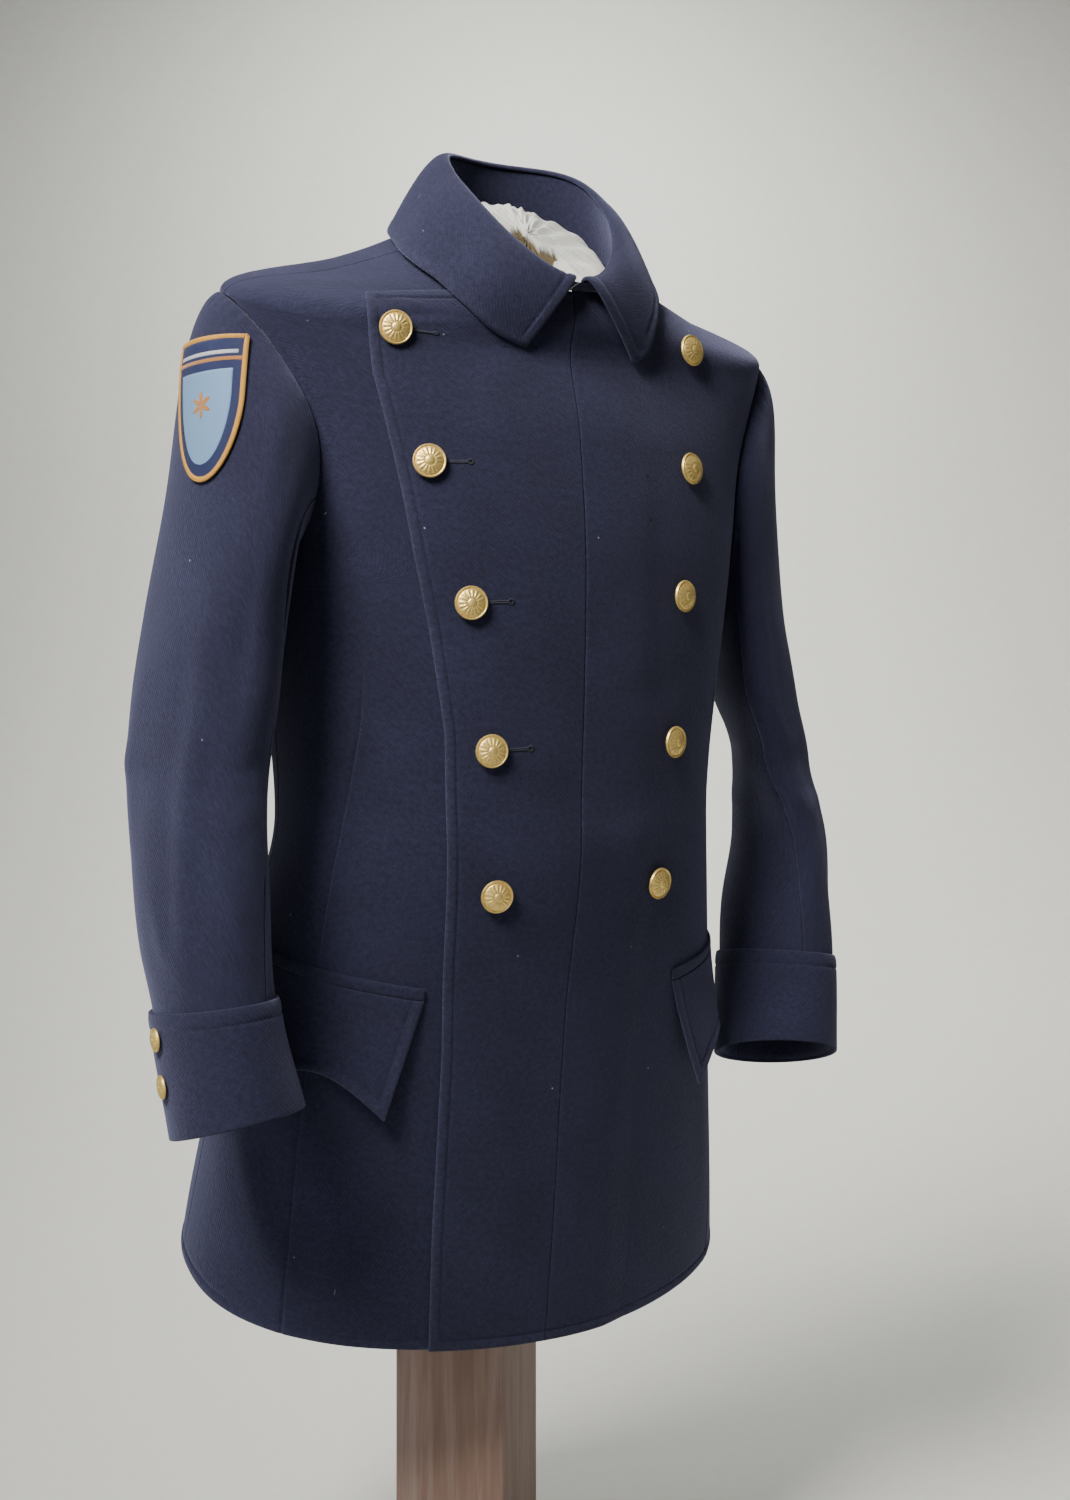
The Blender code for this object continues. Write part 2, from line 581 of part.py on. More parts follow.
def build_cuff_buttons(word, table, side, shape):
    table = columns(SLEEVE_COLUMNS, table)
    turns = np.array([CUFF_BUTTON_ANGLE - 4, CUFF_BUTTON_ANGLE, CUFF_BUTTON_ANGLE + 4])
    for row, height in enumerate(CUFF_BUTTON_HEIGHTS, start=1):
        patch = sleeve_ring(table, side, turns, np.array([height + 0.004, height, height - 0.004]))
        normal = unit(np.cross(patch[1, 2] - patch[1, 0], patch[2, 1] - patch[0, 1]))
        normal = normal * np.sign(normal[0] * side)
        base = patch[1, 1] + normal * (1.5 * CLOTH + CUFF_LAYER + PARTING)
        add_button(f"cuff_button_{word}_{row}", shape, base, normal)


def build_patch(finish):
    """Shield patch: points laid out on the sleeve by height and by length round it."""
    turns = np.linspace(10, 150, 71)
    table = columns(SLEEVE_COLUMNS, SLEEVE_RIGHT)
    surface = sleeve_surface(table, -1, turns)
    normals = sleeve_normals(table, -1, turns)
    share = np.linspace(0, 1, PATCH_ROWS)
    turning = np.clip((share - PATCH_TURN) / (1 - PATCH_TURN), 0, 1)
    half = PATCH_HALF * np.sqrt(np.clip(1 - turning**2, 0.0006, 1))
    heights = PATCH_TOP + (PATCH_TIP - PATCH_TOP) * share
    middle = np.empty((PATCH_ROWS, PATCH_COLUMNS, 3))
    out = np.empty_like(middle)
    for row, (height, width) in enumerate(zip(heights, half)):
        line = np.empty((len(turns), 6))
        for col in range(len(turns)):
            fall = surface[::-1, col, 2]
            for axis in range(3):
                line[col, axis] = np.interp(height, fall, surface[::-1, col, axis])
                line[col, 3 + axis] = np.interp(height, fall, normals[::-1, col, axis])
        length = np.append(0, np.cumsum(np.linalg.norm(np.diff(line[:, :3], axis=0), axis=1)))
        length = length - np.interp(PATCH_ANGLE, turns, length)
        wanted = np.linspace(-width, width, PATCH_COLUMNS) - PATCH_LEAN * (PATCH_TOP - height)
        for axis in range(3):
            middle[row, :, axis] = np.interp(wanted, length, line[:, axis])
            out[row, :, axis] = np.interp(wanted, length, line[:, 3 + axis])
    out = unit(out)
    low = CLOTH / 2 + PATCH_LAYER
    wall("sleeve_patch_right", middle + out * low, middle + out * (low + PATCH_THICK), finish)


def build_form(cover):
    table = columns(FORM_COLUMNS, FORM_INSET)
    levels = body_levels()
    levels = levels[(levels > FORM_LOW) & (levels < FORM_HIGH)]
    around = np.arange(FORM_STEPS) * 360 / FORM_STEPS
    inset = np.interp(levels, table["level"], table["inset"])
    rings = [lift(around, level, np.full(FORM_STEPS, -deep)) for level, deep in zip(levels, inset)]
    rings[0][:, 2] = FORM_FOOT
    middle = np.array([0, FOLD["centre"], 0])
    neck = lift(around, NECK_LEVEL, np.full(FORM_STEPS, -table["inset"][-1]))
    low, high = rings[-1][:, 2], fold_line(around)[:, 2]
    for share, way_up in NECK_CAP:
        ring = middle + (neck - middle) * np.array([share, share, 1])
        lean = high.mean() + (high - high.mean()) * share
        ring[:, 2] = low + (lean - low) * way_up
        rings.append(ring)
    cap = rings[-1].mean(axis=0) + np.array([0, 0, 0.002])
    foot = rings[0].mean(axis=0)
    points = np.concatenate([np.concatenate(rings), [foot, cap]])
    faces = []
    count = FORM_STEPS
    for row in range(len(rings) - 1):
        for col in range(count):
            a, b = row * count + col, row * count + (col + 1) % count
            faces.append((a, b, b + count, a + count))
    last = (len(rings) - 1) * count
    for col in range(count):
        faces.append(((col + 1) % count, col, len(points) - 2))
        faces.append((last + col, last + (col + 1) % count, len(points) - 1))
    add_object("dress_form", points, faces, cover)


def build_stand(wood):
    bottom, top = BASE_THICK + PARTING, STAND_RISE + FORM_FOOT - PARTING
    sizes = (
        ("stand_post", (POST_SIDE, POST_SIDE, top - bottom), (bottom + top) / 2),
        ("stand_base", (BASE_SIDE, BASE_SIDE, BASE_THICK), BASE_THICK / 2),
    )
    for name, size, height in sizes:
        bpy.ops.mesh.primitive_cube_add(size=1, location=(0, 0, height))
        made = bpy.context.object
        made.name = made.data.name = name
        made.scale = size
        bpy.ops.object.transform_apply(location=False, rotation=False, scale=True)
        made.rotation_euler.z = math.radians(POST_TURN)
        edges = made.modifiers.new("rounded edges", "BEVEL")
        edges.width, edges.segments = BASE_ROUND, 2
        made.data.materials.append(wood)
        for held in list(made.users_collection):
            held.objects.unlink(made)
        PARTS.objects.link(made)


for old in list(bpy.data.objects):
    bpy.data.objects.remove(old, do_unlink=True)
PARTS = collection("police_tunic")
PLACE = bpy.data.objects.new("tunic_on_stand", None)
PLACE.location.z = STAND_RISE
PARTS.objects.link(PLACE)

WOOL = material("navy_wool", (0.012, 0.016, 0.030), 0.92)
GILT = material("gilt_brass", (0.80, 0.56, 0.20), 0.30, 1.0)
PATCH = material("patch_embroidery", (0.10, 0.22, 0.50), 0.85)
COVER = material("form_cover", (0.70, 0.68, 0.63), 0.90)
WOOD = material("post_wood", (0.30, 0.24, 0.18), 0.60)

build_fronts(WOOL)
build_back(WOOL)
for WORD, TABLE, SIDE in (("right", SLEEVE_RIGHT, -1), ("left", SLEEVE_LEFT, 1)):
    build_sleeve(WORD, TABLE, SIDE, WOOL)
    build_pockets(WORD, SIDE, WOOL)
build_collar(WOOL)
build_front_buttons(button_mesh("front_button", BUTTON_RADIUS, BUTTON_STEPS, GILT))
SMALL = button_mesh("cuff_button", CUFF_BUTTON_RADIUS, CUFF_BUTTON_STEPS, GILT)
build_cuff_buttons("right", SLEEVE_RIGHT, -1, SMALL)
build_cuff_buttons("left", SLEEVE_LEFT, 1, SMALL)
build_patch(PATCH)
build_form(COVER)
build_stand(WOOD)
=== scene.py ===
"""Looks of a navy police tunic on a covered dress form and a wooden post.

Metres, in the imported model's frame. The cloth, the collar, the buttons, the patch and the
form's cover are worked out again, finer, on the same named values as the solids have.
Angles are in degrees from the centre front, positive towards the wearer's left, a level
counts up along the body's cloth, and an arc is the length along a level from the front.
"""

import math

import bpy
import numpy as np
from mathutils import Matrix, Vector


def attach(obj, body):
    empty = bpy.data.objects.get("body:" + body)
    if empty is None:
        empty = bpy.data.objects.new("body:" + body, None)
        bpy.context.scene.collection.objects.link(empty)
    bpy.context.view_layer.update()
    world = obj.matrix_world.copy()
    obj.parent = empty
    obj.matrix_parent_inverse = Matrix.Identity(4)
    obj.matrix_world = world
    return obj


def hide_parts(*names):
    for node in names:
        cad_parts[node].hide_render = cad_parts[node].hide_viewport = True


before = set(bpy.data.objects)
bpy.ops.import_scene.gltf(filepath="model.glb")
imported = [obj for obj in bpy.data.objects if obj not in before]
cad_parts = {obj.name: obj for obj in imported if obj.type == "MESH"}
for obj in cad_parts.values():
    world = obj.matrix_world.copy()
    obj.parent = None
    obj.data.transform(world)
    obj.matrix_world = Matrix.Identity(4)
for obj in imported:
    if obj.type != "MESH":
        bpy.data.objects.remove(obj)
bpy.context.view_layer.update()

CLOTH, LAYER, SEAM, PARTING = 0.0024, 0.0007, 0.0001, 0.0003
ROUNDNESS = 2.2  # power of the superellipse that the body's rings follow
STAND_RISE = 0.075  # the tunic stands this high above the levels of the tables

BODY_COLUMNS = ("level", "height", "dip", "centre", "width", "front", "back")
BODY_RINGS = (
    (0.222, 0.222, 0.047, 0.017, 0.215, 0.126, 0.136),
    (0.300, 0.300, 0.034, 0.004, 0.205, 0.124, 0.128),
    (0.440, 0.440, 0.018, -0.018, 0.187, 0.121, 0.118),
    (0.550, 0.550, 0.010, -0.043, 0.168, 0.116, 0.104),
    (0.640, 0.640, 0.006, -0.042, 0.176, 0.121, 0.108),
    (0.730, 0.730, 0.004, -0.040, 0.190, 0.125, 0.114),
    (0.820, 0.820, 0.012, -0.045, 0.203, 0.113, 0.106),
    (0.905, 0.905, 0.034, -0.060, 0.220, 0.084, 0.078),
    (0.980, 0.928, 0.034, -0.074, 0.145, 0.076, 0.068),
    (1.050, 0.954, 0.038, -0.085, 0.073, 0.062, 0.060),
)
HEM_LEVEL, NECK_LEVEL = 0.222, 1.050
ARMHOLE_MIDDLE, ARMHOLE_RISE = 0.8075, 0.0975
ARMHOLE_FRONT, ARMHOLE_BACK = 33.0, 30.0
SIDE_DRIFT, SIDE_DRIFT_LEVELS = 10.0, 0.25

OVER_COLUMNS = ("level", "arc")
OVER_EDGE = (
    (0.222, -0.088), (0.294, -0.090), (0.409, -0.090), (0.525, -0.096), (0.614, -0.100),
    (0.682, -0.112), (0.732, -0.123), (0.802, -0.135), (0.860, -0.146), (0.958, -0.150),
    (0.974, -0.125), (0.994, -0.090), (1.020, -0.048), (1.046, -0.010),
)
LAPEL_TOP = 1.046
UNDERLAP, UNDERLAP_NECK, STEP_ARC = 0.045, 0.012, 0.030

SLEEVE_COLUMNS = ("height", "out", "centre", "long", "thin", "turn", "front_up", "outer_up")
SLEEVE_RIGHT = (
    (0.700, 0.2285, -0.066, 0.078, 0.035, 5, 0.000, -0.004),
    (0.640, 0.2342, -0.058, 0.078, 0.0357, 7, 0.000, -0.004),
    (0.590, 0.2382, -0.056, 0.075, 0.0347, 7, 0.002, -0.004),
    (0.530, 0.2437, -0.070, 0.068, 0.0347, 7, 0.003, -0.003),
    (0.470, 0.2460, -0.088, 0.060, 0.035, 6, 0.004, -0.003),
    (0.428, 0.2440, -0.100, 0.054, 0.0345, 2, 0.005, -0.004),
    (0.356, 0.2360, -0.120, 0.050, 0.0374, -3, 0.010, -0.007),
)
SLEEVE_LEFT = (
    (0.700, 0.2300, -0.045, 0.076, 0.030, 31, 0.000, -0.004),
    (0.640, 0.2390, -0.045, 0.077, 0.032, 31, 0.000, -0.004),
    (0.590, 0.2550, -0.045, 0.073, 0.029, 31, 0.002, -0.004),
    (0.530, 0.2590, -0.050, 0.068, 0.028, 18, 0.003, -0.004),
    (0.470, 0.2480, -0.062, 0.062, 0.030, 6, 0.004, -0.004),
    (0.428, 0.2400, -0.072, 0.057, 0.032, 0, 0.006, -0.005),
    (0.356, 0.2300, -0.085, 0.052, 0.035, -4, 0.013, -0.010),
)
SLEEVE_TOP, SLEEVE_END, CUFF_TOP, CUFF_END = 0.700, 0.358, 0.432, 0.356
HEAD_OUT, HEAD_DOWN, HEAD_FALL = 0.14, 0.50, 0.6
HEAD_ROWS, ARM_ROWS = 46, 74
FRONT_SEAM, BACK_SEAM, SEAM_RADIUS = -24.0, 171.0, 0.025
ARMHOLE_LIFT, CUFF_LAYER = 0.0022, 0.0011

FOLD = {"width": 0.0616, "front": 0.070, "back": 0.054, "centre": -0.090,
        "height": 0.989, "rise": 0.0555, "sides": 0.0125}
COLLAR_CLOTH, STAND_FOOT, COLLAR_OPENING, STAND_OPENING = 0.0026, 0.0010, 3.0, 0.05
FOLD_ROLL = 0.0028  # the leaf rolls over the stand at this radius
LEAF_COLUMNS = ("round", "angle", "level")
LEAF_RIGHT = (
    (0.00, -9.5, 0.908), (0.06, -14.5, 0.922), (0.13, -22.0, 0.948), (0.22, -33.0, 0.975),
    (0.34, -52.0, 1.004), (0.46, -76.0, 1.018), (0.58, -100.0, 1.024), (1.00, -180.0, 1.020),
)
LEAF_LEFT = (
    (0.00, 13.5, 0.903), (0.06, 16.0, 0.914), (0.13, 20.0, 0.943), (0.22, 28.0, 0.978),
    (0.34, 42.0, 1.009), (0.46, 65.0, 1.024), (0.58, 93.0, 1.029), (1.00, 180.0, 1.020),
)

POCKET_FRONT, POCKET_BACK = 0.104, 0.244
POCKET_LEVEL, POCKET_SLANT, WELT_HEIGHT = 0.449, 0.104, 0.008
FLAP_TIP_FRONT, FLAP_TIP_BACK, FLAP_TIP_LEVEL = 0.127, 0.216, 0.367
FLAP_ARCH, FLAP_BOW, FLAP_CLOTH = 0.020, 0.013, 0.0022

BUTTONS_RIGHT = ((-0.130, 0.909), (-0.112, 0.796), (-0.085, 0.699), (-0.069, 0.603), (-0.062, 0.510))
BUTTONS_LEFT = ((0.110, 0.936), (0.102, 0.808), (0.092, 0.710), (0.085, 0.608), (0.074, 0.512))
BUTTON_RADIUS, CUFF_BUTTON_RADIUS = 0.0115, 0.0078
CUFF_BUTTON_ANGLE, CUFF_BUTTON_HEIGHTS = 92.0, (0.4165, 0.3885)

PATCH_ANGLE, PATCH_TOP, PATCH_TIP, PATCH_HALF, PATCH_TURN = 80.0, 0.868, 0.772, 0.030, 0.42
PATCH_LEAN = 0.17
PATCH_THICK, PATCH_LAYER = 0.0012, 0.0012

FORM_COLUMNS = ("level", "inset")
FORM_INSET = (
    (0.330, 0.016), (0.600, 0.012), (0.800, 0.011), (0.880, 0.008), (0.925, 0.0028), (1.050, 0.0026),
)
FORM_LOW, FORM_HIGH = 0.330, 1.030
NECK_CAP = ((1.00, 0.00), (0.96, 0.10), (0.86, 0.32), (0.77, 0.42), (0.60, 0.48), (0.34, 0.51),
            (0.16, 0.51), (0.02, 0.51))
# Torn place on the neck cover: its rear side as X and Y, its width by X, and its depth.
TEAR_SIDE = ((-0.0165, -0.0114, -0.0041, -0.0010, 0.0052, 0.0110, 0.0181, 0.0215, 0.0265),
             (-0.0905, -0.0860, -0.0850, -0.0900, -0.0956, -0.0958, -0.0968, -0.1030, -0.1055))
TEAR_WIDTH = ((-0.0165, -0.0114, 0.0, 0.0110, 0.0181, 0.0265), (0.003, 0.012, 0.013, 0.010, 0.006, 0.0))
TEAR_DEEP = 0.003

CUFF_PRESSED = 0.0009  # the cuff's top is pressed down to the sleeve
# A stitched edge: how far in the stitches lie, how high the edge stands, how deep and how
# wide the stitches pull, and the length over which the edge rises and falls.
STITCH_IN, EDGE_HIGH, STITCH_DEEP, STITCH_WIDE, EDGE_STEP = 0.0075, 0.0004, 0.0007, 0.0009, 0.002
# Distances from an edge at which the grids have rows, for stitched edges and for plain seams.
EDGE_GAPS = np.array((0.0, 0.0004, 0.0010, 0.0020, 0.0036, 0.0056, 0.0066, 0.0072, 0.0078, 0.0088, 0.0110))
PLAIN_GAPS = np.array((0.0, 0.0004, 0.0010, 0.0022, 0.0045))
DART_GAPS = np.array((0.0, 0.0007, 0.0015, 0.0030, 0.0060))
UP = np.array([0, 0, 1.0])
EDGE_ROUND = 0.0012  # the cloth's edge is rounded over this distance

# Soft folds of the body's cloth: points (arc, level), half width, height out of the cloth.
BODY_FOLDS = (
    (((-0.236, 0.345), (-0.213, 0.299), (-0.186, 0.236)), 0.011, 0.0030),
    (((-0.165, 0.352), (-0.160, 0.300), (-0.150, 0.230)), 0.016, 0.0020),
    (((-0.118, 0.455), (-0.112, 0.420), (-0.108, 0.330)), 0.012, 0.0014),
    (((-0.150, 0.900), (-0.120, 0.935), (-0.085, 0.955)), 0.008, -0.0010),
    (((-0.045, 0.905), (-0.060, 0.860), (-0.062, 0.800)), 0.014, 0.0012),
    (((0.040, 0.890), (0.050, 0.840), (0.046, 0.780)), 0.012, -0.0009),
    (((-0.100, 0.640), (-0.050, 0.600), (0.000, 0.585)), 0.012, 0.0010),
    (((0.090, 0.560), (0.040, 0.545), (-0.010, 0.548)), 0.012, 0.0011),
    (((0.110, 0.660), (0.060, 0.640), (0.020, 0.640)), 0.011, -0.0008),
    (((-0.185, 0.560), (-0.150, 0.545), (-0.105, 0.540)), 0.010, 0.0012),
    (((-0.190, 0.610), (-0.155, 0.625), (-0.115, 0.618)), 0.010, -0.0009),
    (((0.030, 0.440), (0.024, 0.340), (0.020, 0.230)), 0.022, 0.0016),
    (((-0.045, 0.430), (-0.040, 0.330), (-0.040, 0.230)), 0.020, 0.0014),
    (((0.160, 0.420), (0.175, 0.320), (0.190, 0.230)), 0.016, 0.0022),
    (((0.230, 0.400), (0.245, 0.320), (0.250, 0.230)), 0.016, 0.0022),
    (((0.330, 0.430), (0.345, 0.330), (0.350, 0.230)), 0.022, 0.0026),
    (((-0.330, 0.430), (-0.345, 0.330), (-0.350, 0.230)), 0.022, 0.0026),
    (((0.420, 0.440), (0.440, 0.340), (0.450, 0.230)), 0.024, 0.0026),
    (((-0.420, 0.440), (-0.440, 0.340), (-0.450, 0.230)), 0.024, 0.0026),
    (((0.300, 0.550), (0.380, 0.545), (0.440, 0.560)), 0.010, 0.0013),
    (((-0.300, 0.550), (-0.380, 0.545), (-0.440, 0.560)), 0.010, 0.0013),
    (((0.320, 0.590), (0.390, 0.600), (0.440, 0.596)), 0.010, -0.0010),
    (((-0.320, 0.590), (-0.390, 0.600), (-0.440, 0.596)), 0.010, -0.0010),
)
# Soft folds of a sleeve: points (turn in degrees, height), half width, height.
SLEEVE_FOLDS = (
    (((52, 0.700), (50, 0.620), (56, 0.520), (60, 0.440)), 0.011, 0.0030),
    (((20, 0.740), (24, 0.660), (22, 0.600)), 0.009, -0.0016),
    (((100, 0.660), (118, 0.600), (122, 0.520)), 0.012, 0.0018),
    (((-15, 0.560), (20, 0.548), (60, 0.560)), 0.008, 0.0016),
    (((-20, 0.590), (10, 0.582), (44, 0.596)), 0.008, -0.0012),
    (((150, 0.600), (120, 0.585), (90, 0.590)), 0.009, 0.0016),
    (((30, 0.850), (22, 0.800), (18, 0.750)), 0.008, 0.0018),
    (((130, 0.850), (142, 0.800), (148, 0.750)), 0.008, 0.0018),
    (((90, 0.500), (80, 0.470), (60, 0.450)), 0.009, 0.0012),
    (((250, 0.640), (262, 0.600), (300, 0.590)), 0.010, -0.0018),
    (((240, 0.560), (270, 0.552), (310, 0.560)), 0.010, 0.0018),
)
DART_LINE = ((0.222, -0.191), (0.358, -0.185), (0.458, -0.179), (0.498, -0.177),
             (0.527, -0.174), (0.574, -0.164), (0.617, -0.157), (0.670, -0.155))
DART_TIP = 0.668


def columns(names, rows):
    """A table's columns by name, as arrays."""
    table = np.array(rows, float)
    return {name: table[:, k] for k, name in enumerate(names)}


def smooth(x, xs, ys):
    """Monotone cubic curve through the points xs, ys: Hermite pieces with harmonic tangents."""
    order = np.argsort(xs)
    xs, ys = xs[order], ys[order]
    step = np.diff(xs)
    slope = np.diff(ys) / step
    tangent = np.zeros_like(ys)
    before, after = 2 * step[1:] + step[:-1], step[1:] + 2 * step[:-1]
    same = slope[:-1] * slope[1:] > 0
    safe = np.where(same, slope[:-1], 1.0), np.where(same, slope[1:], 1.0)
    tangent[1:-1] = np.where(same, (before + after) / (before / safe[0] + after / safe[1]), 0)
    tangent[0], tangent[-1] = slope[0], slope[-1]
    x = np.asarray(x, float)
    k = np.clip(np.searchsorted(xs, x) - 1, 0, len(xs) - 2)
    t = (x - xs[k]) / step[k]
    low = (1 + 2 * t) * (1 - t) ** 2 * ys[k] + t * (1 - t) ** 2 * step[k] * tangent[k]
    high = t * t * (3 - 2 * t) * ys[k + 1] + t * t * (t - 1) * step[k] * tangent[k + 1]
    return low + high


def ease(x):
    """0 below 0, 1 above 1, and 3x^2 - 2x^3 between."""
    x = np.clip(x, 0.0, 1.0)
    return x * x * (3 - 2 * x)


def unit(vectors):
    """The vectors scaled to length 1."""
    return vectors / np.maximum(np.linalg.norm(vectors, axis=-1, keepdims=True), 1e-12)


BODY = columns(BODY_COLUMNS, BODY_RINGS)
OVER = columns(OVER_COLUMNS, OVER_EDGE)
DART = columns(("level", "arc"), DART_LINE)


def body(angle, level):
    """Body surface: a superellipse ring of the level's width and depth, dipping by a cosine in front."""
    angle, level = np.broadcast_arrays(np.asarray(angle, float), np.asarray(level, float))
    ring = {name: smooth(level, BODY["level"], BODY[name]) for name in BODY_COLUMNS[1:]}
    sine, cosine = np.sin(np.radians(angle)), np.cos(np.radians(angle))
    scale = (np.abs(sine) ** ROUNDNESS + np.abs(cosine) ** ROUNDNESS) ** (-1 / ROUNDNESS)
    depth = np.where(cosine > 0, ring["front"], ring["back"])
    x = ring["width"] * sine * scale
    y = ring["centre"] - depth * cosine * scale
    return np.stack([x, y, ring["height"] - ring["dip"] * cosine], -1)


def body_normal(angle, level):
    """Unit cross product of the body's steps along a level and up it."""
    turn, rise = 0.5, 0.002
    along = body(angle + turn, level) - body(angle - turn, level)
    low = np.clip(level - rise, HEM_LEVEL, NECK_LEVEL)
    up = body(angle, np.clip(level + rise, HEM_LEVEL, NECK_LEVEL)) - body(angle, low)
    return unit(np.cross(along, up))


def lift(angle, level, distance):
    """Point of the body's surface moved out along its normal by the distance."""
    angle, level = np.broadcast_arrays(np.asarray(angle, float), np.asarray(level, float))
    return body(angle, level) + body_normal(angle, level) * np.asarray(distance)[..., None]


LEVELS = np.linspace(HEM_LEVEL, NECK_LEVEL, 415)
TURNS = np.linspace(-180, 180, 721)
ARC_LIST = np.linspace(-0.72, 0.72, 1441)
RINGS = body(TURNS[None, :], LEVELS[:, None])
ARC_TABLE = np.concatenate(
    [np.zeros((len(LEVELS), 1)), np.cumsum(np.linalg.norm(np.diff(RINGS, axis=1), axis=-1), axis=1)], axis=1)
ARC_TABLE -= ARC_TABLE[:, 360:361]
ANGLE_TABLE = np.stack([np.interp(ARC_LIST, arcs, TURNS) for arcs in ARC_TABLE])


def table_value(table, row_line, col_line, row, col):
    """Value between four neighbours of a table whose rows and columns are evenly spaced."""
    row, col = np.broadcast_arrays(np.asarray(row, float), np.asarray(col, float))
    r = np.clip((row - row_line[0]) / (row_line[1] - row_line[0]), 0, len(row_line) - 1.001)
    c = np.clip((col - col_line[0]) / (col_line[1] - col_line[0]), 0, len(col_line) - 1.001)
    i, j = r.astype(int), c.astype(int)
    u, v = r - i, c - j
    if table.ndim == 3:
        u, v = u[..., None], v[..., None]
    low = table[i, j] * (1 - v) + table[i, j + 1] * v
    return low * (1 - u) + (table[i + 1, j] * (1 - v) + table[i + 1, j + 1] * v) * u


def angle_at(arc, level):
    """Angle of the point at this arc, from the table of arcs by level."""
    return table_value(ANGLE_TABLE, LEVELS, ARC_LIST, level, arc)


def arc_at(angle, level):
    """Length along the level from the front to this angle, from the same rings."""
    return table_value(ARC_TABLE, LEVELS, TURNS, level, angle)


def line_gap(points, line):
    """Distance from each point to a line of straight pieces, and the share of its length there."""
    flat = points.reshape(-1, points.shape[-1])
    start, step = line[:-1], np.diff(line, axis=0)
    size = np.maximum((step**2).sum(-1), 1e-16)
    length = np.append(0, np.cumsum(np.sqrt(size)))
    gap, along = np.full(len(flat), np.inf), np.zeros(len(flat))
    for k in range(len(step)):
        t = np.clip((flat - start[k]) @ step[k] / size[k], 0, 1)
        away = np.linalg.norm(flat - start[k] - t[:, None] * step[k], axis=1)
        near = away < gap
        gap = np.where(near, away, gap)
        along = np.where(near, length[k] + t * math.sqrt(size[k]), along)
    shape = points.shape[:-1]
    return gap.reshape(shape), (along / length[-1]).reshape(shape)


def folds(points, rows):
    """Sum of soft folds: each a Gaussian across its line, fading to nothing at both ends."""
    total = np.zeros(points.shape[:-1])
    for path, wide, high in rows:
        gap, along = line_gap(points, np.array(path))
        total += high * np.exp(-((gap / wide) ** 2)) * np.sin(np.pi * np.clip(along, 0.02, 0.98)) ** 0.7
    return total


def body_folds(arc, level):
    """Folds of the cloth on the body, with slow waves that grow towards the hem."""
    waves = 0.0007 * np.sin(31 * arc + 9 * level) * np.sin(23 * level + 5 * arc)
    skirt = 0.0016 * ease((0.47 - level) / 0.25) * np.sin(26 * arc + 1.3)
    neck = ease((NECK_LEVEL - level) / 0.05)
    return (folds(np.stack([arc, level], -1), BODY_FOLDS) + waves + skirt) * neck


def on_body(arc, level, above):
    """Point this far above the folded surface of the body's cloth, and the body's normal there."""
    angle = angle_at(arc, level)
    return lift(angle, level, above + body_folds(arc, level)), body_normal(angle, level)


def side_angle(level, taken):
    """Size of the angle of a panel's side: its side seam, armhole or shoulder seam."""
    sweep = (level - ARMHOLE_MIDDLE) / ARMHOLE_RISE
    beside = 90 - taken * np.sqrt(np.clip(1 - sweep**2, 0, 1))
    drift = ARMHOLE_MIDDLE - ARMHOLE_RISE - level
    below = 90 + SIDE_DRIFT * ease(drift / SIDE_DRIFT_LEVELS)
    return np.where(level < ARMHOLE_MIDDLE - ARMHOLE_RISE, below, beside)


def over_arc(level):
    """Arc of the lap's free edge."""
    return np.interp(level, OVER["level"], OVER["arc"])


def underlap_arc(level):
    """Arc of the right front's edge under the lap, nearer the middle at the neck."""
    return UNDERLAP + (UNDERLAP_NECK - UNDERLAP) * ease((level - 0.93) / 0.10)


def quads(rows, cols, round_closed=False):
    """Corners of a grid's faces, and the row and column of each corner."""
    row = np.arange(rows - 1)[:, None] + np.zeros((1, cols if round_closed else cols - 1), int)
    col = np.arange(cols if round_closed else cols - 1)[None, :] + np.zeros((rows - 1, 1), int)
    near, low, high = (col + 1) % cols, row * cols, (row + 1) * cols
    faces = np.stack([low + col, low + near, high + near, high + col], -1)
    return (faces.reshape(-1, 4), np.stack([row, row, row + 1, row + 1], -1).reshape(-1, 4),
            np.stack([col, col + 1, col + 1, col], -1).reshape(-1, 4))


def ring_quads(rows, cols):
    """Faces of a grid that is closed both along its rows and along its columns."""
    return quads(rows + 1, cols, True)[0] % (rows * cols)


def fans(count, last, first_pole, last_pole):
    """Triangles from the first ring and from the last ring of a grid to their poles."""
    here = np.arange(count)
    near = (here + 1) % count
    return [np.stack([near, here, np.full(count, first_pole)], -1),
            np.stack([last + here, last + near, np.full(count, last_pole)], -1)]


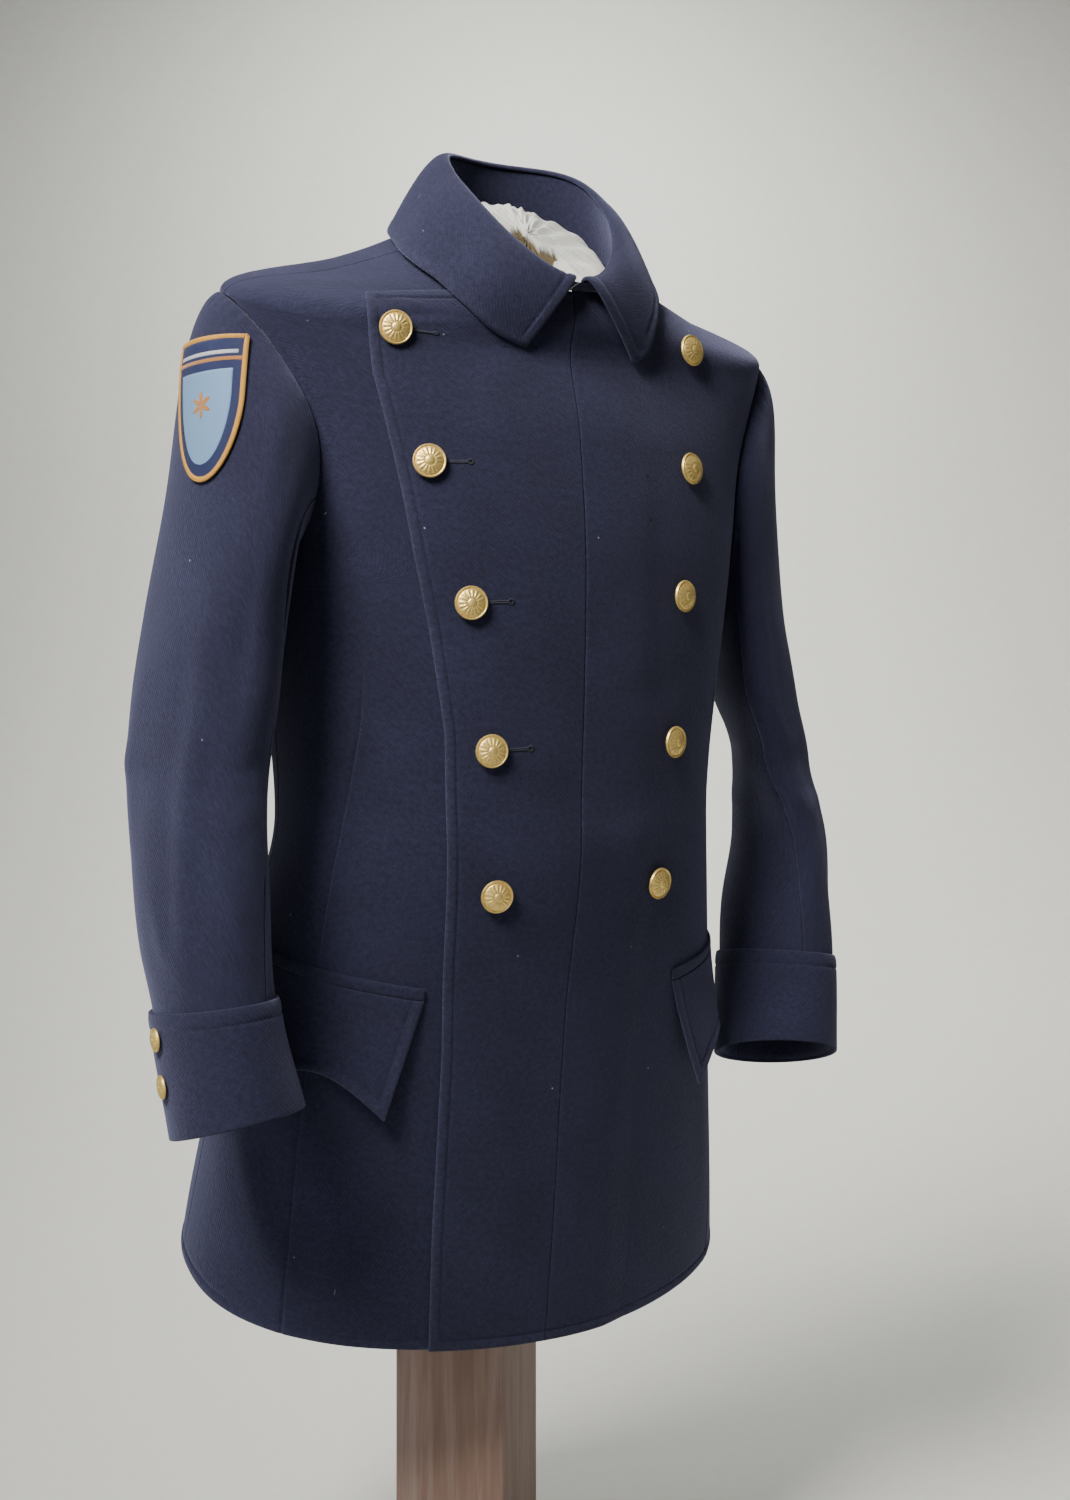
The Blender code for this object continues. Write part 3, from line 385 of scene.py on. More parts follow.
def new_piece(name, points, faces, finish, uv=None, wear=None, sharp=None):
    """Mesh object from points, faces and corner UVs in metres, its faces turned outwards."""
    points, faces = np.asarray(points, float).reshape(-1, 3), [np.asarray(f) for f in faces]
    volume = 0.0
    for group in faces:
        corner = points[group]
        for k in range(1, group.shape[1] - 1):
            volume += np.einsum("ij,ij->i", corner[:, 0], np.cross(corner[:, k], corner[:, k + 1])).sum()
    if volume < 0:
        faces = [group[:, ::-1] for group in faces]
        uv = None if uv is None else [group[:, ::-1] for group in uv]
    mesh = bpy.data.meshes.new(name)
    listed = [face for group in faces for face in group.tolist()]
    mesh.from_pydata((points + STAND_RISE * UP).tolist(), [], listed)
    mesh.materials.append(finish)
    if uv is not None:
        layer = mesh.uv_layers.new(name="metres")
        layer.data.foreach_set("uv", np.concatenate([group.reshape(-1, 2) for group in uv]).ravel())
    if wear is not None:
        worn = mesh.attributes.new("wear", "FLOAT", "POINT")
        worn.data.foreach_set("value", np.asarray(wear, np.float32).ravel())
    mesh.shade_smooth()
    if sharp:
        mesh.set_sharp_from_angle(angle=math.radians(sharp))
    made = bpy.data.objects.new(name, mesh)
    bpy.context.scene.collection.objects.link(made)
    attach(made, "root")
    return made


def shell(name, outer, inner, finish, uv=None, wear=None, round_closed=False):
    """Closed shell between two grids of points, with a strip round its open edges."""
    rows, cols = outer.shape[:2]
    count = rows * cols
    top, row, col = quads(rows, cols, round_closed)
    low = top[:, ::-1] + count
    across, last_row = np.arange(cols), (rows - 1) * cols
    if round_closed:
        loops = [np.append(end, end[0]) for end in (across, last_row + across[::-1])]
    else:
        loops = [np.concatenate([across, np.arange(1, rows) * cols + cols - 1,
                                 last_row + across[-2::-1], np.arange(1, rows - 1)[::-1] * cols, [0]])]
    strips = np.concatenate([
        np.stack([loop[1:], loop[:-1], loop[:-1] + count, loop[1:] + count], -1) for loop in loops])
    maps = None
    if uv is not None:
        face_uv = uv[row, col]
        flat = uv[:, :cols].reshape(-1, 2)
        maps = [face_uv, face_uv[:, ::-1], flat[strips % count]]
    if wear is not None:
        wear = np.concatenate([wear.ravel(), np.zeros(count)])
    points = np.concatenate([outer.reshape(-1, 3), inner.reshape(-1, 3)])
    return new_piece(name, points, [top, low, strips], finish, maps, wear)


def grid_normals(points, round_closed=False):
    """Unit cross product of each grid point's steps to its neighbours."""
    if round_closed:
        along = np.roll(points, -1, axis=1) - np.roll(points, 1, axis=1)
    else:
        along = np.gradient(points, axis=1)
    return unit(np.cross(along, np.gradient(points, axis=0)))


def facing(normals, outward):
    """The normals, turned about where they point against the outward way."""
    return normals * np.sign((normals * outward).sum(-1, keepdims=True))


def lengths(points, axis):
    """Length along a grid's rows or columns, from the first point."""
    step = np.linalg.norm(np.diff(points, axis=axis), axis=-1)
    pad = [(0, 0), (0, 0)]
    pad[axis] = (1, 0)
    return np.pad(np.cumsum(step, axis=axis), pad)


def rounded(gap):
    """Part of the half thickness at a distance from the edge: a quarter circle."""
    return np.sqrt(np.clip(1 - (1 - np.clip(gap / EDGE_ROUND, 0, 1)) ** 2, 0.0025, 1))


def stitched(gap):
    """Height of a turned and stitched edge: a flat roll out to the stitches, which pull a groove."""
    rise, fall = ease((gap - 0.0005) / EDGE_STEP), ease((gap - STITCH_IN + 0.0015) / EDGE_STEP)
    return EDGE_HIGH * rise * (1 - fall) - STITCH_DEEP * np.exp(-(((gap - STITCH_IN) / STITCH_WIDE) ** 2))


def cloth(node, middle, normals, thick, edged=(), relief=0.0, closed=False,
          edges=("low", "high", "first", "last")):
    """Cloth shell about a middle surface: rounded at its edges and rolled where it is stitched."""
    lines = {"low": middle[0], "high": middle[-1], "first": middle[:, 0], "last": middle[:, -1]}
    gaps = {side: line_gap(middle, lines[side])[0] for side in edges}
    gap = np.min(list(gaps.values()), axis=0)
    half = thick / 2 * rounded(gap)
    outer_relief = np.zeros_like(gap) + relief
    wear = 0.12 * np.exp(-((gap / 0.0022) ** 2))
    if edged:
        edge_gap = np.min([gaps[side] for side in edged], axis=0)
        outer_relief = outer_relief + stitched(edge_gap)
        wear = np.maximum(wear, 0.55 * np.exp(-((edge_gap / 0.0022) ** 2)))
        wear = np.maximum(wear, 0.25 * np.exp(-(((edge_gap - 0.004) / 0.0030) ** 2)))
    outer = middle + normals * (half + outer_relief)[..., None]
    inner = middle - normals * half[..., None]
    whole = np.concatenate([middle, middle[:, :1]], axis=1) if closed else middle
    uv = np.stack([lengths(whole, 1), lengths(whole, 0)], -1)
    made = shell(node + "_cloth", outer, inner, WOOL, uv, wear, closed)
    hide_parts(node)
    return made


def body_rows(top=NECK_LEVEL, below=92, beside=60, above=44):
    """Levels of a panel's rows: crowded at the hem's stitches and at the armhole's ends."""
    gaps = HEM_LEVEL + EDGE_GAPS
    plain = np.linspace(gaps[-1] + 0.002, ARMHOLE_MIDDLE - ARMHOLE_RISE, below)[:-1]
    sweep = np.radians(np.linspace(-90, 90, beside))
    arm = ARMHOLE_MIDDLE + ARMHOLE_RISE * np.sin(sweep)
    last = np.linspace(ARMHOLE_MIDDLE + ARMHOLE_RISE, top, above)[1:]
    return np.concatenate([gaps, plain, arm, last])


def spread(stops, counts):
    """Arcs of a panel's columns. A stop is a line of arcs, with gaps crowded before and after it."""
    made = []
    for k, (line, before, after) in enumerate(stops):
        line = line[:, None]
        stop = line if before is None else line - before[:, ::-1]
        if k:
            share = np.linspace(0, 1, counts[k - 1] + 2)[None, 1:-1]
            made.append(made[-1][:, -1:] * (1 - share) + stop[:, :1] * share)
        made.append(stop)
        if after is not None:
            made.append(line + after[:, 1:])
    return np.concatenate(made, axis=1)


def gaps_for(gaps, stretch):
    """Gaps at each level, stretched by that level's factor."""
    return gaps[None, :] * stretch[:, None]


def edge_stretch(levels):
    """How much longer a gap is along a level than straight across the over edge."""
    rise = np.gradient(over_arc(levels), levels)
    rise = np.convolve(np.pad(rise, 2, mode="edge"), np.ones(5) / 5, mode="valid")
    return np.clip(np.sqrt(1 + rise**2), 1, 2.4)


def panel(node, arcs, levels, above, edged=("low",), relief=None):
    """Panel of the body: the body's surface at these arcs and levels, with the body's folds."""
    rows = np.broadcast_to(levels[:, None], arcs.shape)
    middle = on_body(arcs, rows, above)[0]
    shape = relief(arcs, rows) if relief else 0.0
    return cloth(node, middle, grid_normals(middle), CLOTH, edged, shape)


def dart_arc(levels, over, side):
    """The dart's line, which above its tip runs on halfway between the over edge and the side."""
    low = np.interp(levels, DART["level"], DART["arc"])
    return low + ((over + side) / 2 - low) * ease((levels - DART_TIP) / 0.09)


def dart_relief(side):
    """The dart's relief on the right front (side 1) or on the left front (side -1)."""
    def relief(arcs, rows):
        """Groove of the dart, fading at its tip, with the cloth full on both sides of it."""
        line = side * np.interp(rows, DART["level"], DART["arc"])
        fade = ease((DART_TIP + 0.006 - rows) / 0.05)
        away = np.abs(arcs - line)
        return fade * (0.0003 * np.exp(-((away / 0.006) ** 2)) - 0.0011 * np.exp(-((away / 0.0011) ** 2)))
    return relief


def build_fronts():
    """Right front with its underlap, the lap on the left front, and the left front below it."""
    levels = body_rows()
    side = arc_at(-side_angle(levels, ARMHOLE_FRONT), levels) + SEAM / 2
    over, under = over_arc(levels), underlap_arc(levels)
    plain = gaps_for(PLAIN_GAPS, np.ones_like(levels))
    dart_gaps = gaps_for(DART_GAPS, np.clip((over - side) / 0.05, 0.3, 1))
    dart = dart_arc(levels, over, side)
    arcs = spread([(side, None, plain), (dart, dart_gaps, dart_gaps), (over, None, None),
                   (under, plain, None)], (16, 20, 22))
    panel("forepart_right", arcs, levels, 0.0, relief=dart_relief(1))

    above = CLOTH + LAYER
    lap = body_rows(LAPEL_TOP, 120, 70, 70)
    stretch = edge_stretch(lap)
    edge = over_arc(lap)
    room = (-SEAM / 2 - edge) / 0.02
    edge_gaps = gaps_for(EDGE_GAPS, np.clip(stretch, 0, room))
    seam_gaps = gaps_for(PLAIN_GAPS, np.clip(room, 0, 1))
    arcs = spread([(edge, None, edge_gaps), (np.full_like(lap, -SEAM / 2), seam_gaps, None)], (38,))
    panel("lapel_left", arcs, lap, above, ("low", "first", "high"))

    side = arc_at(side_angle(levels, ARMHOLE_FRONT), levels) - SEAM / 2
    middle = np.full_like(over, SEAM / 2)
    dart = -dart_arc(levels, over, -side)
    dart = np.maximum(dart, under + STEP_ARC + 0.02)
    arcs = spread([(middle, None, plain), (under, None, None), (under + STEP_ARC, None, None),
                   (dart, dart_gaps, dart_gaps), (side, plain, None)], (10, 12, 16, 16))
    rows = np.broadcast_to(levels[:, None], arcs.shape)
    fall = above * (1 - ease((arcs - underlap_arc(rows)) / STEP_ARC))
    panel("forepart_left", arcs, levels, fall, relief=dart_relief(-1))


def build_back():
    """The two halves of the back, from the side seam and the armhole to the middle."""
    levels = body_rows(below=70, beside=44, above=36)
    angle = side_angle(levels, ARMHOLE_BACK)
    low = levels < ARMHOLE_MIDDLE - ARMHOLE_RISE
    angle = np.where(low, angle, np.maximum(180 - angle, 90))
    side = arc_at(angle, levels) + SEAM / 2
    centre = arc_at(np.full_like(levels, 180.0), levels) - SEAM / 2
    plain = gaps_for(PLAIN_GAPS, np.ones_like(levels))
    arcs = spread([(side, None, plain), (centre, plain, None)], (40,))
    panel("back_left", arcs, levels, 0.0)
    panel("back_right", -arcs[:, ::-1], levels, 0.0)


def sleeve_ring(table, side, turns, heights):
    """Sleeve rings: an ellipse turned a little about its centre, with its front edge raised."""
    ring = {name: smooth(heights, table["height"], table[name])[:, None] for name in SLEEVE_COLUMNS[1:]}
    turn = np.radians(ring["turn"])
    ahead, outward = np.cos(np.radians(turns))[None, :], np.sin(np.radians(turns))[None, :]
    x = ring["out"] - ring["long"] * ahead * np.sin(turn) + ring["thin"] * outward * np.cos(turn)
    y = ring["centre"] - ring["long"] * ahead * np.cos(turn) - ring["thin"] * outward * np.sin(turn)
    z = heights[:, None] + ring["front_up"] * ahead + ring["outer_up"] * outward
    return np.stack([side * x, y, z + 0 * x], -1)


def armhole(side, turns):
    """Points just outside the body along the armhole, and the way out of the body."""
    sweep = np.radians(turns)
    taken = np.where(np.cos(sweep) > 0, ARMHOLE_FRONT, ARMHOLE_BACK)
    angle = side * (90 - taken * np.cos(sweep))
    level = ARMHOLE_MIDDLE + ARMHOLE_RISE * np.sin(sweep)
    start = lift(angle, level, np.full(len(turns), ARMHOLE_LIFT))
    away = unit((lift(angle, level, np.full(len(turns), 0.01)) - start) * np.array([1, 1, 0.3]))
    fall = HEAD_FALL * np.clip(np.sin(sweep), 0, 1)
    return start, unit(away - fall[:, None] * UP)


def sleeve_surface(table, side, turns):
    """Middle surface of a sleeve: a cubic head from the armhole, then the arm's rings."""
    start, away = armhole(side, turns)
    arm = sleeve_ring(table, side, turns, np.linspace(SLEEVE_TOP, SLEEVE_END, ARM_ROWS))
    end = arm[0]
    below = SLEEVE_TOP - (SLEEVE_TOP - SLEEVE_END) / 10
    lower = sleeve_ring(table, side, turns, np.array([SLEEVE_TOP, below]))
    reach = np.linalg.norm(end - start, axis=-1, keepdims=True)
    first = start + away * reach * HEAD_OUT
    second = end + unit(lower[0] - lower[1]) * reach * HEAD_DOWN
    share = (np.linspace(0, 1, HEAD_ROWS + 1)[:-1] ** 1.35)[:, None, None]
    head = ((1 - share) ** 3 * start + 3 * (1 - share) ** 2 * share * first
            + 3 * (1 - share) * share**2 * second + share**3 * end)
    return np.concatenate([head, arm])


def sleeve_normals(table, side, turns):
    """Unit cross product of the sleeve's steps round it and down it."""
    along = sleeve_surface(table, side, turns + 1) - sleeve_surface(table, side, turns - 1)
    return -side * unit(np.cross(along, np.gradient(sleeve_surface(table, side, turns), axis=0)))


def sleeve_folds(turns, surface, word):
    """Folds of a sleeve, with the small fullness that is eased in at its head."""
    height = surface[..., 2]
    where = np.stack([np.broadcast_to(turns * 0.001, height.shape), height], -1)
    rows = [([(a * 0.001, b) for a, b in path], wide, high) for path, wide, high in SLEEVE_FOLDS]
    shift = 0.0 if word == "right" else 1.9
    turn = np.radians(np.broadcast_to(turns, height.shape))
    waves = 0.0009 * np.sin(2 * turn + 17 * height + shift) * np.sin(38 * height + turn * 1.5)
    row = np.arange(len(surface))[:, None]
    top = ease((row - 1) / 8.0)
    eased = 0.0005 * np.sin(44 * turn) * (1 - ease((row - 4) / 9.0)) * ease(np.sin(turn) * 2)
    return (folds(where, rows) + waves) * top + eased * top


def sleeve_turns(first, last, count):
    """Turns across a sleeve piece, crowded at both seams."""
    edge = np.degrees(np.array([0.0, 0.0004, 0.0011, 0.0024]) / 0.05)
    between = np.linspace(first + edge[-1], last - edge[-1], count)[1:-1]
    return np.concatenate([first + edge, between, last - edge[::-1]])


def build_sleeve(word, rows, side):
    """Top sleeve and under sleeve, and the cuff as rings round the sleeve's end."""
    table = columns(SLEEVE_COLUMNS, rows)
    pull = math.degrees(SEAM / 2 / SEAM_RADIUS)
    for piece, first, last, count in (("topsleeve", FRONT_SEAM + pull, BACK_SEAM - pull, 96),
                                      ("undersleeve", BACK_SEAM + pull, 360 + FRONT_SEAM - pull, 70)):
        turns = sleeve_turns(first, last, count)
        surface = sleeve_surface(table, side, turns)
        normals = sleeve_normals(table, side, turns)
        middle = surface + normals * sleeve_folds(turns, surface, word)[..., None]
        cloth(f"{piece}_{word}", middle, normals, CLOTH)
    around = np.arange(120) * 3.0
    tall = CUFF_TOP - CUFF_END
    heights = CUFF_TOP - np.concatenate([
        [0, 0.0004, 0.001, 0.002, 0.004, 0.007, 0.0095, 0.0102, 0.0110, 0.0118, 0.0125, 0.015],
        np.linspace(0.018, tall - 0.012, 18), tall - EDGE_GAPS[::-1]])
    middle = sleeve_ring(table, side, around, heights)
    normals = facing(grid_normals(middle, True), middle - middle.mean(axis=1, keepdims=True))
    below_top = (CUFF_TOP - heights)[:, None]
    pressed = CUFF_PRESSED * (1 - ease(below_top / 0.006))
    middle = middle + normals * (CLOTH + CUFF_LAYER - pressed)[..., None]
    turn = np.radians(around)[None, :]
    from_seam = (around[None, :] - BACK_SEAM + 3) / 3.0
    seam = -0.0010 * np.exp(-(from_seam**2)) * ease((below_top - 0.004) / 0.004)
    second = -STITCH_DEEP * np.exp(-(((below_top - 0.0110) / STITCH_WIDE) ** 2))
    soft = 0.0005 * np.sin(3 * turn + 1) * np.sin(60 * below_top)
    cloth(f"cuff_{word}", middle, normals, CLOTH, (), seam + second + soft, closed=True,
          edges=("low", "high"))


def fold_line(angle):
    """The collar's fold: a ring that rises from the front to the back by a cosine."""
    turn = np.radians(angle)
    depth = np.where(np.cos(turn) > 0, FOLD["front"], FOLD["back"])
    x = FOLD["width"] * np.sin(turn)
    y = FOLD["centre"] - depth * np.cos(turn)
    z = FOLD["height"] - FOLD["rise"] * np.cos(turn) - FOLD["sides"] * np.cos(2 * turn)
    return np.stack([x, y, z], -1)


def build_collar():
    """Stand from the neck seam up to the fold, and the leaf as a quadratic curve back down."""
    half_round = np.concatenate([STAND_OPENING + np.array([0, 0.3, 0.8, 1.8]), np.linspace(4, 180, 92)])
    around = np.concatenate([-half_round, half_round[::-1][1:]])
    seam = lift(around, NECK_LEVEL, 0 * around) + STAND_FOOT * UP
    top = fold_line(around) - COLLAR_CLOTH / 2 * UP
    share = np.concatenate([[0, 0.02, 0.05], np.linspace(0.1, 0.9, 22), [0.95, 0.98, 1]])[:, None, None]
    stand = seam * (1 - share) + top * share
    away = unit((fold_line(around) - fold_line(around).mean(axis=0)) * np.array([1, 1, 0]))
    rows = 0.0004 * np.cos(lengths(stand, 0) / 0.0042 * 2 * np.pi) * ease(share[..., 0] * 5)
    normals = np.broadcast_to(away, stand.shape)
    cloth("collar_stand", stand, normals, COLLAR_CLOTH, relief=-0.2 * rows)

    right, left = columns(LEAF_COLUMNS, LEAF_RIGHT), columns(LEAF_COLUMNS, LEAF_LEFT)
    part = np.concatenate([EDGE_GAPS / 0.30, np.linspace(0.045, 1, 96) ** 1.05])
    angle, level = (np.concatenate([
        smooth(part, right["round"], right[name]),
        smooth(part, left["round"], left[name])[::-1][1:]]) for name in LEAF_COLUMNS[1:])
    reach = COLLAR_OPENING + (180 - COLLAR_OPENING) * part
    fold_angle = np.concatenate([-reach, reach[::-1][1:]])
    ring = fold_line(fold_angle)
    start = ring + COLLAR_CLOTH / 2 * UP
    rest = 2 * CLOTH + 2 * LAYER + COLLAR_CLOTH / 2 - CLOTH / 2
    end = lift(angle, level, np.full(len(angle), rest))
    away = unit((ring - fold_line(np.arange(0.0, 360.0, 5.0)).mean(axis=0)) * np.array([1, 1, 0]))
    bend = start + away * 0.012 + 0.001 * UP
    down = 1 - EDGE_GAPS[::-1] / 0.065
    between = np.linspace(0.075, down[0] - 0.02, 30)
    share = np.concatenate([[0, 0.006, 0.016, 0.03, 0.05], between, down])[:, None, None]
    leaf = (1 - share) ** 2 * start + 2 * (1 - share) * share * bend + share**2 * end
    roll = np.radians(np.array([90.0, 75, 60, 45, 30, 15]))[:, None, None]
    rolled = start - FOLD_ROLL * (away * np.sin(roll) + UP * (1 - np.cos(roll)))
    leaf, share = np.concatenate([rolled, leaf]), np.concatenate([0 * roll, share])
    normals = grid_normals(leaf)
    normals = normals * np.sign((normals * away).sum(-1, keepdims=True).mean())
    wave = 0.0006 * np.sin(np.radians(fold_angle) * 9 + 1) * np.sin(np.pi * share[..., 0])
    leaf = leaf + normals * wave[..., None]
    cloth("collar_leaf", leaf, normals, COLLAR_CLOTH, ("high", "first", "last"))


def build_pockets(word, side):
    """Welt and flap: strips of the body's surface, the flap bowed away from it towards its tip."""
    base = CLOTH / 2 + LAYER
    across = np.concatenate([[0, 0.003, 0.008, 0.016], np.linspace(0.03, 0.97, 50), [0.984, 0.992, 0.997, 1]])
    arcs = POCKET_FRONT + (POCKET_BACK - POCKET_FRONT) * across
    slant = POCKET_SLANT * (arcs - POCKET_FRONT)
    rows = np.array([0.0, 0.05, 0.14, 0.3, 0.5, 0.7, 0.86, 0.95, 1.0])[:, None]
    levels = POCKET_LEVEL + slant - WELT_HEIGHT * (1 - rows)
    arc_grid = side * np.broadcast_to(arcs, levels.shape)
    middle, outward = on_body(arc_grid, levels, base + CLOTH * 0.35)
    roll = 0.0005 * np.sin(np.pi * rows)
    welt = cloth(f"pocket_welt_{word}", middle, facing(grid_normals(middle), outward), CLOTH * 0.7,
                 relief=roll)

    across = np.concatenate([EDGE_GAPS / 0.11, np.linspace(0.12, 0.88, 40), 1 - EDGE_GAPS[::-1] / 0.11])
    arcs = POCKET_FRONT + (POCKET_BACK - POCKET_FRONT) * across
    slant = POCKET_SLANT * (arcs - POCKET_FRONT)
    down = np.concatenate([[0, 0.006, 0.016, 0.035], np.linspace(0.06, 0.82, 26),
                           1 - EDGE_GAPS[::-1] / 0.068])[:, None]
    tip_arcs = FLAP_TIP_FRONT + (FLAP_TIP_BACK - FLAP_TIP_FRONT) * across
    tip_levels = FLAP_TIP_LEVEL + POCKET_SLANT * (tip_arcs - FLAP_TIP_FRONT)
    tip_levels = tip_levels + FLAP_ARCH * np.sin(np.pi * across)
    top_levels = POCKET_LEVEL + slant - WELT_HEIGHT - SEAM
    arc_grid = side * (arcs * (1 - down) + tip_arcs * down)
    levels = top_levels * (1 - down) + tip_levels * down
    bow = base + FLAP_CLOTH / 2 + FLAP_BOW * down**1.4 * (1 - 0.6 * across)
    middle, outward = on_body(arc_grid, levels, bow + 0.0008 * np.sin(7 * across + 1) * down)
    cloth(f"pocket_flap_{word}", middle, facing(grid_normals(middle), outward), FLAP_CLOTH,
          ("high", "first", "last"))


def turned(profile, steps, relief):
    """Surface of a half section (radius, height) carried round Z, and its faces, with closed poles."""
    turn = np.arange(steps) * 2 * np.pi / steps
    radius, height = profile[1:-1, 0][:, None], profile[1:-1, 1][:, None] + np.zeros((1, steps))
    height = height + relief(radius, turn[None, :])
    ring = np.stack([radius * np.cos(turn), radius * np.sin(turn), height], -1)
    points = np.concatenate([ring.reshape(-1, 3), [[0, 0, profile[0, 1]], [0, 0, profile[-1, 1]]]])
    poles = fans(steps, (len(ring) - 1) * steps, len(points) - 2, len(points) - 1)
    return points, [quads(len(ring), steps, True)[0]] + poles


def button_shape(radius, steps):
    """Stamped button: a low dome inside a beaded rim, with a small boss and fine rays."""
    r = np.concatenate([[0, 0.03, 0.08], np.linspace(0.14, 0.80, 20),
                        [0.84, 0.87, 0.90, 0.93, 0.96, 0.985, 1.0]])
    dome = 0.58 - 0.21 * (r / 0.84) ** 2
    rim = 0.33 + 0.05 * np.sin(np.clip((r - 0.86) / 0.14, 0, 1) * np.pi)
    height = np.where(r < 0.84, dome, rim)
    height[-2], height[-1] = 0.315, 0.27
    boss = 0.045 * np.sqrt(np.clip(1 - (r / 0.24) ** 2, 0, 1)) - 0.025 * np.exp(-(((r - 0.29) / 0.04) ** 2))
    under = np.array([(0.99, 0.22), (0.90, 0.17), (0.34, 0.13), (0.34, 0.002), (0.0, 0.0)])
    profile = np.concatenate([np.stack([r, height + boss], -1), under]) * radius

    def relief(out, turn):
        """Rays between the boss and the rim, and a fine rope along the rim."""
        share = out / radius
        rays = np.clip((share - 0.34) / 0.08, 0, 1) * np.clip((0.78 - share) / 0.06, 0, 1)
        rope = np.exp(-(((share - 0.93) / 0.035) ** 2))
        top = np.arange(len(out))[:, None] < len(r) - 1
        return radius * top * (0.022 * rays * np.cos(16 * turn) + 0.012 * rope * np.cos(48 * turn))

    return turned(profile, steps, relief)


def add_button(node, shape, place, normal, turn):
    """The button's shape, turned so that its axis follows the cloth's normal."""
    points, faces = shape
    axis = unit(np.asarray(normal))
    side = unit(np.cross([0.0, 0.0, 1.0], axis))
    up = np.cross(axis, side)
    cosine, sine = math.cos(turn), math.sin(turn)
    side, up = side * cosine + up * sine, up * cosine - side * sine
    made = new_piece(node + "_gilt", place + points @ np.stack([side, up, axis]), faces, GILT, sharp=45)
    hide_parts(node)


def build_buttons():
    """Front buttons on the lap and on the left front, and two at each cuff's back seam."""
    rng = np.random.default_rng(7)
    large, small = button_shape(BUTTON_RADIUS, 96), button_shape(CUFF_BUTTON_RADIUS, 72)
    cloth_on = {"right": 1.5 * CLOTH + LAYER, "left": CLOTH / 2}
    for word, places in (("right", BUTTONS_RIGHT), ("left", BUTTONS_LEFT)):
        for row, (arc, level) in enumerate(places, start=1):
            place, normal = on_body(np.array(arc), np.array(level), cloth_on[word] + PARTING)
            add_button(f"button_{word}_{row}", large, place, normal, rng.uniform(0, 3))
    for word, rows, side in (("right", SLEEVE_RIGHT, -1), ("left", SLEEVE_LEFT, 1)):
        table = columns(SLEEVE_COLUMNS, rows)
        turns = np.array([CUFF_BUTTON_ANGLE - 4, CUFF_BUTTON_ANGLE, CUFF_BUTTON_ANGLE + 4])
        for row, height in enumerate(CUFF_BUTTON_HEIGHTS, start=1):
            near = sleeve_ring(table, side, turns, np.array([height + 0.004, height, height - 0.004]))
            normal = unit(np.cross(near[1, 2] - near[1, 0], near[2, 1] - near[0, 1]))
            normal = normal * np.sign(normal[0] * side)
            place = near[1, 1] + normal * (1.5 * CLOTH + CUFF_LAYER + PARTING)
            add_button(f"cuff_button_{word}_{row}", small, place, normal, rng.uniform(0, 3))


def tube(name, line, normal, radius, finish, flat, sides, ripple):
    """Tube along a closed line on a surface: an ellipse in the plane of the side and the normal."""
    step = np.roll(line, -1, axis=0) - np.roll(line, 1, axis=0)
    across = unit(np.cross(unit(step), normal))
    turn = np.arange(sides) * 2 * np.pi / sides
    size = radius * (1 + ripple)
    ring = (line[:, None] + (across[:, None] * np.cos(turn)[None, :, None]
            + normal[:, None] * (flat * np.sin(turn))[None, :, None]) * size[:, None, None])
    return new_piece(name, ring, [ring_quads(len(line), sides)], finish)


def evenly(outline, count):
    """Points at even steps along a closed outline, from its length."""
    loop = np.vstack([outline, outline[:1]])
    length = np.append(0, np.cumsum(np.linalg.norm(np.diff(loop, axis=0), axis=1)))
    want = np.linspace(0, length[-1], count, endpoint=False)
    return np.interp(want, length, loop[:, 0]), np.interp(want, length, loop[:, 1])


def build_buttonholes():
    """Keyhole buttonholes: a slit from the button to a round end, worked over with thread, with a near-black
    sheet in the slit as painted shade.
    """
    slit_from, slit_to, slit_half, eye, tilt, count = 0.0125, 0.0300, 0.00055, 0.0017, 0.06, 260
    face = 1.5 * CLOTH + LAYER

    def tilted(points):
        """The slit's points turned by its tilt."""
        return (points[..., 0] * math.cos(tilt) - points[..., 1] * math.sin(tilt),
                points[..., 0] * math.sin(tilt) + points[..., 1] * math.cos(tilt))

    for row, (arc, level) in enumerate(BUTTONS_RIGHT[:4], start=1):
        turn = np.linspace(-150, 150, 20)
        end = np.stack([slit_to - eye + eye * np.cos(np.radians(turn)), eye * np.sin(np.radians(turn))], -1)
        straight = np.linspace(slit_from, end[0, 0], 22)[:-1]
        lower = np.stack([straight, np.full(len(straight), -slit_half)], -1)
        upper = lower[::-1] * np.array([1, -1])
        outline = np.concatenate([lower, end, upper])
        x, y = tilted(outline)
        line, normal = on_body(arc + x, level + y, face + 0.0001)
        fine = np.linspace(0, len(line), count, endpoint=False)
        keep = np.arange(len(line) + 1)
        loop, loop_normal = np.vstack([line, line[:1]]), np.vstack([normal, normal[:1]])
        line = np.stack([np.interp(fine, keep, loop[:, k]) for k in range(3)], -1)
        normal = unit(np.stack([np.interp(fine, keep, loop_normal[:, k]) for k in range(3)], -1))
        ripple = 0.22 * np.cos(np.arange(count) * np.pi / 2)
        tube(f"buttonhole_thread_{row}", line, normal, 0.00062, THREAD, 0.8, 6, ripple)
        half = len(outline) // 2
        share = np.linspace(-0.9, 0.9, 7)[None, :, None]
        first, second = outline[:half][:, None], outline[::-1][:half][:, None]
        grid = (first + second) / 2 + (second - first) / 2 * share
        x, y = tilted(grid)
        outer = on_body(arc + x, level + y, face + 0.00012)[0]
        inner = on_body(arc + x, level + y, face - 0.0006)[0]
        # A near-black sheet fills the slit: painted shade in the opening.
        shell(f"buttonhole_slit_shade_{row}", outer, inner, PAINTED_SHADE)


